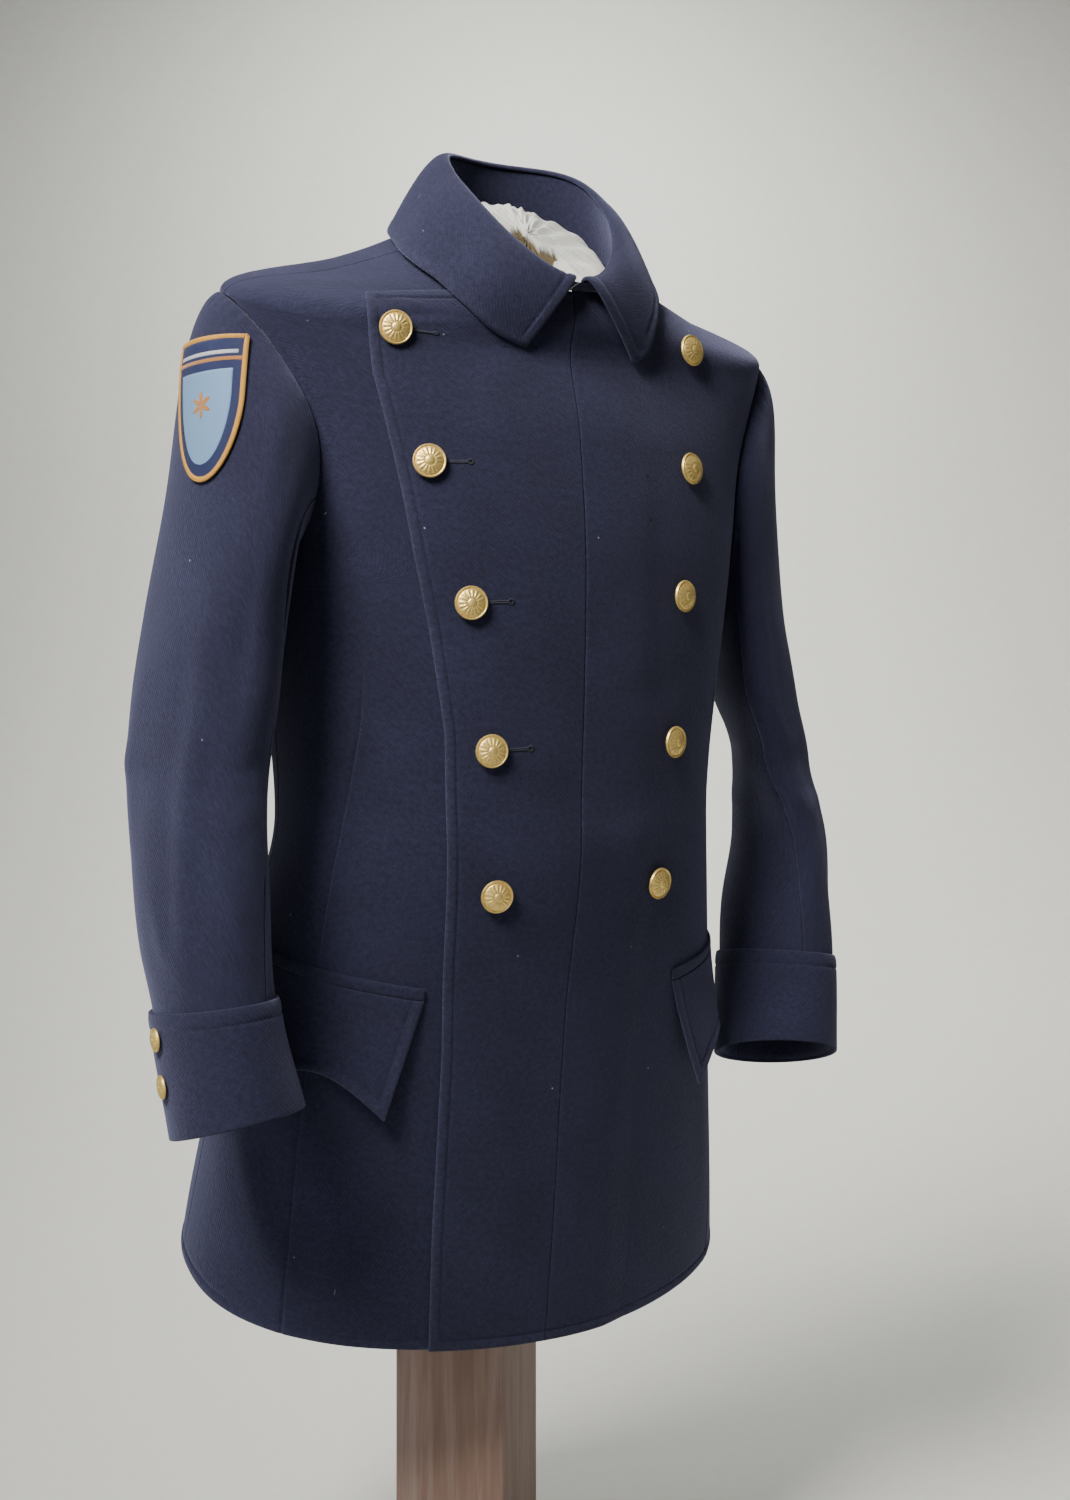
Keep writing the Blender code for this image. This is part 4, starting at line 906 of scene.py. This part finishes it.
def build_wear_holes():
    """Two small pulled holes in the left breast, where something was pinned on, each a funnel painted near
    black as shade.
    """
    count = 28
    for row, (arc, level) in enumerate(((0.057, 0.798), (0.058, 0.764)), start=1):
        turn = np.radians(np.arange(count) * 360 / count)
        size = 0.0016 * (1 + 0.15 * np.sin(3 * turn + row))
        rings = []
        fall = CLOTH + LAYER
        for share, high in ((1.0, 0.00002), (0.8, 0.00012), (0.6, 0.00004), (0.25, -0.0002)):
            x, y = arc + size * share * np.cos(turn) * 1.25, level + size * share * np.sin(turn)
            step = fall * (1 - ease((x - underlap_arc(y)) / STEP_ARC))
            ring, normal = on_body(x, y, step + CLOTH / 2 + high)
            rings.append(ring)
        rings += [rings[-1] - normal * 0.0009, rings[0] - normal * 0.0012]
        # The whole funnel takes the near-black finish: painted shade inside the hole.
        new_piece(f"pulled_hole_{row}", np.stack(rings), [ring_quads(len(rings), count)], PAINTED_SHADE)


def sleeve_lookup():
    """Tables of the right sleeve's points and normals by height and by length round the sleeve."""
    turns = np.linspace(10, 150, 141)
    table = columns(SLEEVE_COLUMNS, SLEEVE_RIGHT)
    surface = sleeve_surface(table, -1, turns)
    normals = sleeve_normals(table, -1, turns)
    surface = surface + normals * sleeve_folds(turns, surface, "right")[..., None]
    heights = np.linspace(0.752, 0.880, 65)
    both = np.concatenate([surface, normals], axis=-1)[::-1]
    lines = np.stack([np.stack([np.interp(heights, both[:, c, 2], both[:, c, k]) for k in range(6)], -1)
                      for c in range(len(turns))], axis=1)
    length = lengths(lines[..., :3], 1)
    across = np.linspace(-0.046, 0.046, 93)
    out = [row - np.interp(PATCH_ANGLE, turns, row) for row in length]
    found = np.stack([np.stack([np.interp(across, out[r], lines[r, :, k]) for k in range(6)], -1)
                      for r in range(len(heights))])
    return heights, across, found


def build_patch():
    """Shield patch: layers of embroidery inside a thick overlocked border."""
    heights, across, found = sleeve_lookup()

    def on_sleeve(x, y, above):
        """Point and normal this far above the sleeve's middle, at x across the leaning patch."""
        value = table_value(found, heights, across, y, x - PATCH_LEAN * (PATCH_TOP - y))
        return value[..., :3] + unit(value[..., 3:]) * np.asarray(above)[..., None], unit(value[..., 3:])

    def half_width(share, turn=PATCH_TURN):
        """Half width of the shield, as a part of its widest, at a share of its height."""
        turning = np.clip((share - turn) / (1 - turn), 0, 1)
        return np.sqrt(np.clip(1 - turning**2, 0.0006, 1))

    def layer(name, top, tip, half, low, high, finish, turn=PATCH_TURN):
        """Shield between two heights above the sleeve, a little full away from its edges."""
        share = np.linspace(0, 1, 46)[:, None] ** 0.9
        side = np.linspace(-1, 1, 36)[None, :]
        x = half * half_width(share, turn) * side
        y = top + (tip - top) * share + 0 * x
        edge = 1 - np.maximum(np.abs(side), np.abs(2 * share - 1)) ** 8
        outer = on_sleeve(x, y, high + 0.0002 * edge)[0]
        inner = on_sleeve(x, y, low + 0 * x)[0]
        return shell(name, outer, inner, finish, np.stack([x, y], -1))

    low = CLOTH / 2 + PATCH_LAYER
    top = low + PATCH_THICK
    ground = layer("sleeve_patch_ground", PATCH_TOP, PATCH_TIP, PATCH_HALF, low, top, PATCH_NAVY)
    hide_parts("sleeve_patch_right")
    tall = PATCH_TOP - PATCH_TIP
    pieces = [layer("sleeve_patch_field", PATCH_TOP - 0.24 * tall, PATCH_TIP + 0.10 * tall, 0.0235,
                    top - 0.0003, top + 0.0003, PATCH_BLUE, 0.25)]
    centre = (PATCH_TOP + PATCH_TIP) / 2 + 0.002
    turn = np.linspace(0, 2 * np.pi, 121)[:-1]
    star = 0.0062 + 0.0030 * np.cos(6 * turn)
    ring = np.linspace(0.12, 1, 7)[:, None]
    x, y = star * np.cos(turn + 0.52) * ring, centre + star * np.sin(turn + 0.52) * ring
    outer = on_sleeve(x, y, top + 0.0006 + 0.0004 * (1 - ring) + 0 * x)[0]
    inner = on_sleeve(x, y, top + 0 * x)[0]
    grid = np.concatenate([outer, inner[::-1]])
    pieces.append(new_piece("sleeve_patch_star", grid, [ring_quads(len(grid), len(turn))], PATCH_AMBER))
    bars = ((0.115, 0.026, PATCH_WHITE), (0.165, 0.030, PATCH_AMBER))
    for row, (at, wide, finish) in enumerate(bars, start=1):
        height = PATCH_TOP - at * tall
        share = np.linspace(-1, 1, 60)[None, :]
        up = np.linspace(-1, 1, 9)[:, None]
        x, y = wide * share + 0 * up, height + 0.0014 * up + 0 * share
        bulge = 0.0005 * np.sqrt(np.clip(1 - up**2, 0, 1)) * np.clip((1 - np.abs(share)) * 14, 0, 1)
        outer, inner = on_sleeve(x, y, top + 0.0001 + bulge)[0], on_sleeve(x, y, top - 0.0002 + 0 * x)[0]
        pieces.append(shell(f"sleeve_patch_bar_{row}", outer, inner, finish, np.stack([x, y], -1)))
    rounding = np.sin(np.linspace(0.05, 1, 60) * np.pi / 2)
    share = np.concatenate([np.linspace(0, PATCH_TURN, 20), PATCH_TURN + (1 - PATCH_TURN) * rounding])
    right = np.stack([PATCH_HALF * half_width(share), PATCH_TOP - tall * share], -1)
    count = 600
    x, y = evenly(np.concatenate([right, right[::-1] * np.array([-1, 1])]), count)
    line, normal = on_sleeve(x, y, np.full(count, (low + top) / 2 + 0.0002))
    ripple = 0.10 * np.cos(np.arange(count) * 2 * np.pi / 4)
    pieces.append(tube("sleeve_patch_border", line, normal, 0.0019, PATCH_GOLD, 0.62, 10, ripple))


def build_form():
    """Covered form: rings inside the body's cloth, then a cap whose cover is gathered and creased."""
    table = columns(FORM_COLUMNS, FORM_INSET)
    count = 192
    around = np.arange(count) * 360 / count
    levels = np.linspace(FORM_LOW, FORM_HIGH, 90)
    inset = np.interp(levels, table["level"], table["inset"])
    rings = lift(around[None, :], levels[:, None], np.broadcast_to(-inset[:, None], (90, count)))
    rings[0, :, 2] = FORM_LOW
    middle = np.array([0, FOLD["centre"], 0])
    neck = lift(around, np.full(count, NECK_LEVEL), np.full(count, -table["inset"][-1]))
    low, high = rings[-1][:, 2], fold_line(around)[:, 2]
    cap = np.array(NECK_CAP)
    knot = np.arange(len(cap), dtype=float)
    fine = np.linspace(0, len(cap) - 1, 84)[1:]
    share, way_up = smooth(fine, knot, cap[:, 0])[:, None], smooth(fine, knot, cap[:, 1])[:, None]
    lean = high.mean() + (high - high.mean()) * share
    top = middle + (neck - middle) * np.concatenate([share, share, np.ones_like(share)], axis=1)[:, None]
    foot_of = low.mean() + (low - low.mean()) * np.clip(share / NECK_CAP[-3][0], 0, 1)
    top[..., 2] = foot_of + (lean - foot_of) * way_up
    turn = np.radians(around)[None, :]
    grow = ease((fine[:, None] - 1.0) / 1.5)
    crease = (0.0022 * np.abs(np.sin(6.5 * turn + 6.3 * share)) ** 0.6 - 0.0012
              + 0.0012 * np.sin(15 * turn - 9 * share) + 0.0007 * np.sin(31 * turn + 22 * share))
    top[..., 2] += crease * grow
    top[..., :2] += (top - middle)[..., :2] * (0.02 * np.sin(9 * turn + 5 * share) * grow)[..., None]
    grid = np.concatenate([rings, top])
    x, y = grid[..., 0], grid[..., 1]
    upper = np.interp(x, TEAR_SIDE[0], TEAR_SIDE[1])
    lower = upper - np.interp(x, TEAR_WIDTH[0], TEAR_WIDTH[1])
    ragged = 0.0006 * np.sin(730 * x) + 0.0004 * np.sin(1900 * x + 900 * y)
    on_cap = (np.arange(len(grid)) > len(rings) + 10)[:, None]
    torn = ease((np.minimum(upper - y, y - lower) + ragged) / 0.0011) * on_cap
    grid[..., 2] -= TEAR_DEEP * torn
    cap_point, foot = grid[-1].mean(axis=0) + 0.001 * UP, grid[0].mean(axis=0)
    points = np.concatenate([grid.reshape(-1, 3), [foot, cap_point]])
    ends = fans(count, (len(grid) - 1) * count, len(points) - 2, len(points) - 1)
    wear = np.append(torn.ravel(), [0, torn[-1].mean()])
    made = new_piece("dress_form_cover", points, [quads(len(grid), count, True)[0]] + ends, COVER, wear=wear)
    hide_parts("dress_form")


def sockets(group, rows):
    """Named inputs and outputs of a node group."""
    for name, kind, way, value in rows:
        socket = group.interface.new_socket(name=name, in_out=way, socket_type="NodeSocket" + kind)
        if value is not None:
            socket.default_value = value


def plug(tree, holder, values):
    """Give a node's inputs, by name or number, a value each or a link from another node's output."""
    for name, value in values.items():
        if isinstance(value, bpy.types.NodeSocket):
            tree.links.new(value, holder.inputs[name])
        else:
            holder.inputs[name].default_value = value


def node(tree, kind, inputs=None, **settings):
    """New node with these settings and inputs."""
    made = tree.nodes.new(kind)
    for name, value in settings.items():
        setattr(made, name, value)
    plug(tree, made, inputs or {})
    return made


def noise(tree, place, scale, detail, rough=0.5):
    """Value of a noise texture."""
    return node(tree, "ShaderNodeTexNoise",
                {"Vector": place, "Scale": scale, "Detail": detail, "Roughness": rough}).outputs[0]


def ramp(tree, value, low, high, first=0.0, last=1.0):
    """Value carried from low..high to first..last, and kept inside."""
    return node(tree, "ShaderNodeMapRange", {"Value": value, "From Min": low, "From Max": high,
                                             "To Min": first, "To Max": last}).outputs[0]


def mixed(tree, share, first, second, how="MIX"):
    """Colour between two."""
    return node(tree, "ShaderNodeMix", {0: share, 6: first, 7: second},
                data_type="RGBA", blend_type=how).outputs[2]


def math_node(tree, how, first, second):
    """Sum, product or greater of two values."""
    return node(tree, "ShaderNodeMath", {0: first, 1: second}, operation=how).outputs[0]


def napped_group():
    """Napped wool: short fibres laid down the cloth, a faint twill under them, and lint."""
    tree = bpy.data.node_groups.new("napped wool", "ShaderNodeTree")
    sockets(tree, (
        ("Vector", "Vector", "INPUT", None), ("Cloth", "Color", "INPUT", (0.02, 0.02, 0.05, 1)),
        ("Worn", "Color", "INPUT", (0.06, 0.07, 0.1, 1)), ("Lint", "Color", "INPUT", (0.3, 0.32, 0.36, 1)),
        ("Wear", "Float", "INPUT", 0.0), ("Color", "Color", "OUTPUT", None),
        ("Roughness", "Float", "OUTPUT", None), ("Height", "Float", "OUTPUT", None)))
    given, put = tree.nodes.new("NodeGroupInput"), tree.nodes.new("NodeGroupOutput")
    place = given.outputs["Vector"]
    laid = node(tree, "ShaderNodeMapping", {"Vector": place, "Scale": (1.0, 0.35, 1.0)}).outputs[0]
    fibres = noise(tree, laid, 1400.0, 3.0, 0.7)
    tufts = noise(tree, place, 260.0, 2.0)
    clouds = noise(tree, place, 16.0, 3.0)
    twill = node(tree, "ShaderNodeTexWave",
                 {"Vector": place, "Scale": 190.0, "Distortion": 2.0, "Detail": 1.0},
                 wave_type="BANDS", bands_direction="DIAGONAL").outputs[1]
    hair_place = node(tree, "ShaderNodeMapping",
                      {"Vector": place, "Rotation": (0, 0, 0.7), "Scale": (1.0, 0.16, 1.0)}).outputs[0]

    def marks(where, scale, channel, sizes, picked):
        """Voronoi spots of this size, kept only in the cells whose random colour is picked."""
        spots = node(tree, "ShaderNodeTexVoronoi", {"Vector": where, "Scale": scale})
        chance = node(tree, "ShaderNodeSeparateColor", {"Color": spots.outputs["Color"]}).outputs[channel]
        return math_node(tree, "MULTIPLY", ramp(tree, spots.outputs["Distance"], *sizes, 1.0, 0.0),
                         ramp(tree, chance, *picked))

    lint = marks(place, 95.0, 0, (0.045, 0.075), (0.955, 0.975))
    hair = marks(hair_place, 150.0, 1, (0.05, 0.09), (0.965, 0.975))
    lint = math_node(tree, "MAXIMUM", lint, math_node(tree, "MULTIPLY", hair, 0.6))
    shade = ramp(tree, fibres, 0.3, 0.7, 0.55, 1.45)
    for value, low, high in ((tufts, 0.78, 1.22), (clouds, 0.84, 1.16)):
        shade = math_node(tree, "MULTIPLY", shade, ramp(tree, value, 0.3, 0.7, low, high))
    colour = mixed(tree, given.outputs["Wear"], given.outputs["Cloth"], given.outputs["Worn"])
    grey = node(tree, "ShaderNodeCombineColor", {"Red": shade, "Green": shade, "Blue": shade}).outputs[0]
    colour = mixed(tree, 1.0, colour, grey, "MULTIPLY")
    height = math_node(tree, "MULTIPLY", fibres, 0.6)
    for value, part in ((tufts, 0.6), (twill, 0.18), (lint, 0.5)):
        height = math_node(tree, "ADD", height, math_node(tree, "MULTIPLY", value, part))
    plug(tree, put, {"Color": mixed(tree, lint, colour, given.outputs["Lint"]), "Height": height,
                     "Roughness": ramp(tree, fibres, 0.3, 0.7, 0.86, 0.98)})
    return tree


def grain_group():
    """Soft marks for hard and woven finishes: large clouds, fine grain and small dirt."""
    tree = bpy.data.node_groups.new("grain and dust", "ShaderNodeTree")
    sockets(tree, (
        ("Vector", "Vector", "INPUT", None), ("Fine", "Float", "INPUT", 300.0),
        ("Large", "Float", "INPUT", 12.0), ("Clouds", "Float", "OUTPUT", None),
        ("Grain", "Float", "OUTPUT", None), ("Dust", "Float", "OUTPUT", None)))
    given, put = tree.nodes.new("NodeGroupInput"), tree.nodes.new("NodeGroupOutput")
    clouds = noise(tree, given.outputs["Vector"], given.outputs["Large"], 4.0)
    grain = noise(tree, given.outputs["Vector"], given.outputs["Fine"], 4.0, 0.65)
    dust = ramp(tree, math_node(tree, "MULTIPLY", clouds, grain), 0.22, 0.36)
    plug(tree, put, {"Clouds": clouds, "Grain": grain, "Dust": dust})
    return tree


def material(name, **constants):
    """A material with its Principled shader and the constants set on that shader's sockets."""
    made = bpy.data.materials.new(name)
    made.use_nodes = True
    tree = made.node_tree
    shader = tree.nodes["Principled BSDF"]
    for socket, value in constants.items():
        shader.inputs[socket.replace("_", " ")].default_value = value
    return made, tree, shader


def finished(tree, shader, colour, rough, height, distance):
    """Give the shader its colour and roughness, and a bump of this height in metres."""
    raised = node(tree, "ShaderNodeBump", {"Height": height, "Distance": distance, "Strength": 1.0})
    plug(tree, shader, {"Base Color": colour, "Roughness": rough, "Normal": raised.outputs[0]})


def wool_material():
    """The tunic's cloth, on its UVs in metres, lighter where the wear attribute says so."""
    made, tree, shader = material("navy napped wool", Sheen_Weight=0.30, Sheen_Roughness=0.45,
                                  Sheen_Tint=(0.52, 0.54, 0.85, 1), Specular_IOR_Level=0.22)
    uv = node(tree, "ShaderNodeUVMap", uv_map="metres").outputs[0]
    worn = node(tree, "ShaderNodeAttribute", attribute_name="wear").outputs["Fac"]
    nap = node(tree, "ShaderNodeGroup", {
        "Vector": uv, "Wear": worn, "Cloth": (0.0155, 0.0162, 0.0375, 1), "Worn": (0.032, 0.034, 0.062, 1),
        "Lint": (0.30, 0.32, 0.36, 1)}, node_tree=napped_group()).outputs
    finished(tree, shader, nap["Color"], nap["Roughness"], nap["Height"], 0.0006)
    return made


GRAIN = grain_group()


def grained(name, first, second, fine, large, depth, low, high, stretch=(1, 1, 1), turn=0.0, dust=None,
            torn=None, **constants):
    """Finish between two colours by grain, on Object coordinates, with roughness and bump from it."""
    made, tree, shader = material(name, **constants)
    place = node(tree, "ShaderNodeTexCoord").outputs["Object"]
    place = node(tree, "ShaderNodeMapping",
                 {"Vector": place, "Rotation": (0, 0, turn), "Scale": stretch}).outputs[0]
    marks = node(tree, "ShaderNodeGroup", {"Vector": place, "Fine": fine, "Large": large},
                 node_tree=GRAIN).outputs
    share = ramp(tree, math_node(tree, "ADD", marks["Clouds"], marks["Grain"]), 0.75, 1.25)
    colour = mixed(tree, share, (*first, 1), (*second, 1))
    if dust:
        colour = mixed(tree, math_node(tree, "MULTIPLY", marks["Dust"], 0.5), colour, (*dust, 1))
    if torn:
        stuffing = mixed(tree, marks["Grain"], (*(0.4 * c for c in torn), 1), (*torn, 1))
        where = node(tree, "ShaderNodeAttribute", attribute_name="wear").outputs["Fac"]
        colour = mixed(tree, where, colour, stuffing)
    finished(tree, shader, colour, ramp(tree, marks["Grain"], 0.3, 0.7, low, high), marks["Grain"], depth)
    return made


def embroidered(name, colour, angle, sheen=0.25):
    """Rayon embroidery: parallel threads that shine a little, in the shield's own millimetres, with painted
    shade in the grooves between them.
    """
    made, tree, shader = material(name, Sheen_Weight=sheen, Sheen_Roughness=0.35, Specular_IOR_Level=0.45)
    place = node(tree, "ShaderNodeTexCoord").outputs["Object"]
    place = node(tree, "ShaderNodeMapping", {"Vector": place, "Rotation": (angle, 0, 0)}).outputs[0]
    threads = node(tree, "ShaderNodeTexWave",
                   {"Vector": place, "Scale": 620.0, "Distortion": 1.2, "Detail": 1.0},
                   wave_type="BANDS", bands_direction="Z").outputs[1]
    grain = node(tree, "ShaderNodeGroup", {"Vector": place, "Fine": 900.0, "Large": 40.0},
                 node_tree=GRAIN).outputs["Grain"]
    # Colour falls to 0.55 between the threads: painted shade in the grooves, mixed with the grain's random
    # tone.
    dark = tuple(c * 0.55 for c in colour)
    share = math_node(tree, "MULTIPLY", ramp(tree, threads, 0.1, 0.7), ramp(tree, grain, 0.3, 0.6, 0.7, 1.0))
    finished(tree, shader, mixed(tree, share, (*dark, 1), (*colour, 1)),
             ramp(tree, grain, 0.3, 0.7, 0.42, 0.62), math_node(tree, "ADD", threads, grain), 0.0003)
    return made


WOOL = wool_material()
GILT = grained("brushed gilt", (0.90, 0.62, 0.17), (1.0, 0.78, 0.30), 900.0, 260.0, 0.00006, 0.36, 0.56,
               dust=(0.36, 0.22, 0.07), Metallic=0.78)
THREAD = grained("navy thread", (0.006, 0.007, 0.012), (0.022, 0.026, 0.045), 1600.0, 300.0, 0.0002,
                 0.6, 0.85)
# Near-black finish for the buttonhole slits and the pulled holes: painted shade in the openings, darker than
# the cloth.
PAINTED_SHADE = grained("painted shade inside", (0.002, 0.002, 0.003), (0.006, 0.006, 0.008), 900.0, 100.0, 0.0001, 0.9, 1.0)
COVER = grained("creased cotton", (0.44, 0.45, 0.41), (0.68, 0.69, 0.63), 700.0, 26.0, 0.0006, 0.75, 0.95,
                dust=(0.36, 0.34, 0.28), torn=(0.105, 0.072, 0.018), Sheen_Weight=0.15)
WOOD = grained("weathered post", (0.165, 0.098, 0.070), (0.290, 0.185, 0.138), 120.0, 9.0, 0.0005, 0.55, 0.8,
               stretch=(1, 1, 0.06), turn=math.radians(-42), dust=(0.30, 0.26, 0.24))
PATCH_NAVY = embroidered("patch navy", (0.018, 0.030, 0.120), 0.7)
PATCH_BLUE = embroidered("patch light blue", (0.25, 0.45, 0.72), 0.0)
PATCH_AMBER = embroidered("patch amber", (0.62, 0.26, 0.06), 1.2)
PATCH_WHITE = embroidered("patch white", (0.75, 0.76, 0.78), 0.3)
PATCH_GOLD = embroidered("patch gold", (0.86, 0.42, 0.05), 0.0)

build_fronts()
build_back()
for WORD, TABLE, SIDE in (("right", SLEEVE_RIGHT, -1), ("left", SLEEVE_LEFT, 1)):
    build_sleeve(WORD, TABLE, SIDE)
    build_pockets(WORD, SIDE)
build_collar()
build_buttons()
build_buttonholes()
build_wear_holes()
build_patch()
build_form()

for NODE in ("stand_post", "stand_base"):
    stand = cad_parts[NODE]
    stand.data.materials.clear()
    stand.data.materials.append(WOOD)


AHEAD, RIGHT = np.array([0.5150, 0.8572, 0.0]), np.array([0.8572, -0.5150, 0.0])  # as the camera sees
# Lights: target and place from the aim, each to the right, ahead and up, the disk's size, watts,
# spread in degrees, and colour.
LIGHTS = (
    ("key light", (0.05, 0, 0.38), (-0.85, -1.35, 1.4), 0.9, 19.5, 75, (1.0, 0.97, 0.94)),
    ("fill light", (-0.2, 0, -0.35), (-1.9, -0.9, 0.1), 1.2, 2.3, 80, (0.93, 0.96, 1.0)),
    ("flap light", (-0.17, 0, -0.33), (-0.1, -1.5, -0.2), 0.7, 0.3, 40, (0.95, 0.97, 1.0)),
    ("top light", (0, 0, 0), (0, 0.2, 1.9), 1.2, 4.0, 120, (0.97, 0.98, 1.0)),
    ("backdrop light", (0, 2.4, 0), (0, 1.3, 1.35), 1.2, 22.0, 150, (1.0, 1.0, 0.98)),
)


def build_studio():
    """Pale floor that sweeps up behind into a backdrop, and large soft lights."""
    radius, sweep = 1.2, np.radians(np.arange(6, 91, 6))
    out = np.concatenate([[-4.0, 0.0, radius], radius + radius * np.sin(sweep), [2 * radius]])
    up = np.concatenate([[0.0, 0.0, 0.0], radius - radius * np.cos(sweep), [4.5]])
    wide = np.linspace(-6, 6, 9)
    points = out[:, None, None] * AHEAD + wide[None, :, None] * RIGHT + up[:, None, None] * UP
    finish = grained("pale paper", (0.86, 0.86, 0.79), (0.90, 0.90, 0.84), 60.0, 1.2, 0.0002, 0.85, 0.95)
    mesh = bpy.data.meshes.new("studio_paper")
    mesh.from_pydata(points.reshape(-1, 3).tolist(), [], quads(len(out), len(wide))[0].tolist())
    mesh.materials.append(finish)
    mesh.shade_smooth()
    paper = bpy.data.objects.new("studio_paper", mesh)
    bpy.context.scene.collection.objects.link(paper)
    aim, view = np.array([0.0, -0.05, 0.75]), np.stack([RIGHT, AHEAD, UP])
    for name, target, place, size, power, spread, colour in LIGHTS:
        target, place = np.array(target) @ view, np.array(place) @ view
        data = bpy.data.lights.new(name, "AREA")
        data.shape, data.size, data.energy, data.color = "DISK", size, power, colour
        data.spread = math.radians(spread)
        lamp = bpy.data.objects.new(name, data)
        lamp.location = aim + place
        lamp.rotation_euler = Vector(target - place).to_track_quat("-Z", "Y").to_euler()
        bpy.context.scene.collection.objects.link(lamp)
    world = bpy.data.worlds.new("studio air")
    world.use_nodes = True
    air = world.node_tree.nodes["Background"]
    plug(world.node_tree, air, {"Color": (0.95, 0.95, 1.0, 1), "Strength": 0.13})
    bpy.context.scene.world = world


def build_camera():
    """Camera at the photograph's angle: level, 31 degrees to the wearer's right of the front."""
    data = bpy.data.cameras.new("camera")
    data.sensor_fit, data.sensor_height, data.lens = "VERTICAL", 36.0, 44.95
    data.shift_y = -20 / 1500  # the photograph was cropped a little above its middle
    camera = bpy.data.objects.new("camera", data)
    camera.location = (-0.6936, -1.2549, 0.685)
    camera.rotation_euler = Vector(AHEAD).to_track_quat("-Z", "Y").to_euler()
    bpy.context.scene.collection.objects.link(camera)
    bpy.context.scene.camera = camera


build_studio()
build_camera()
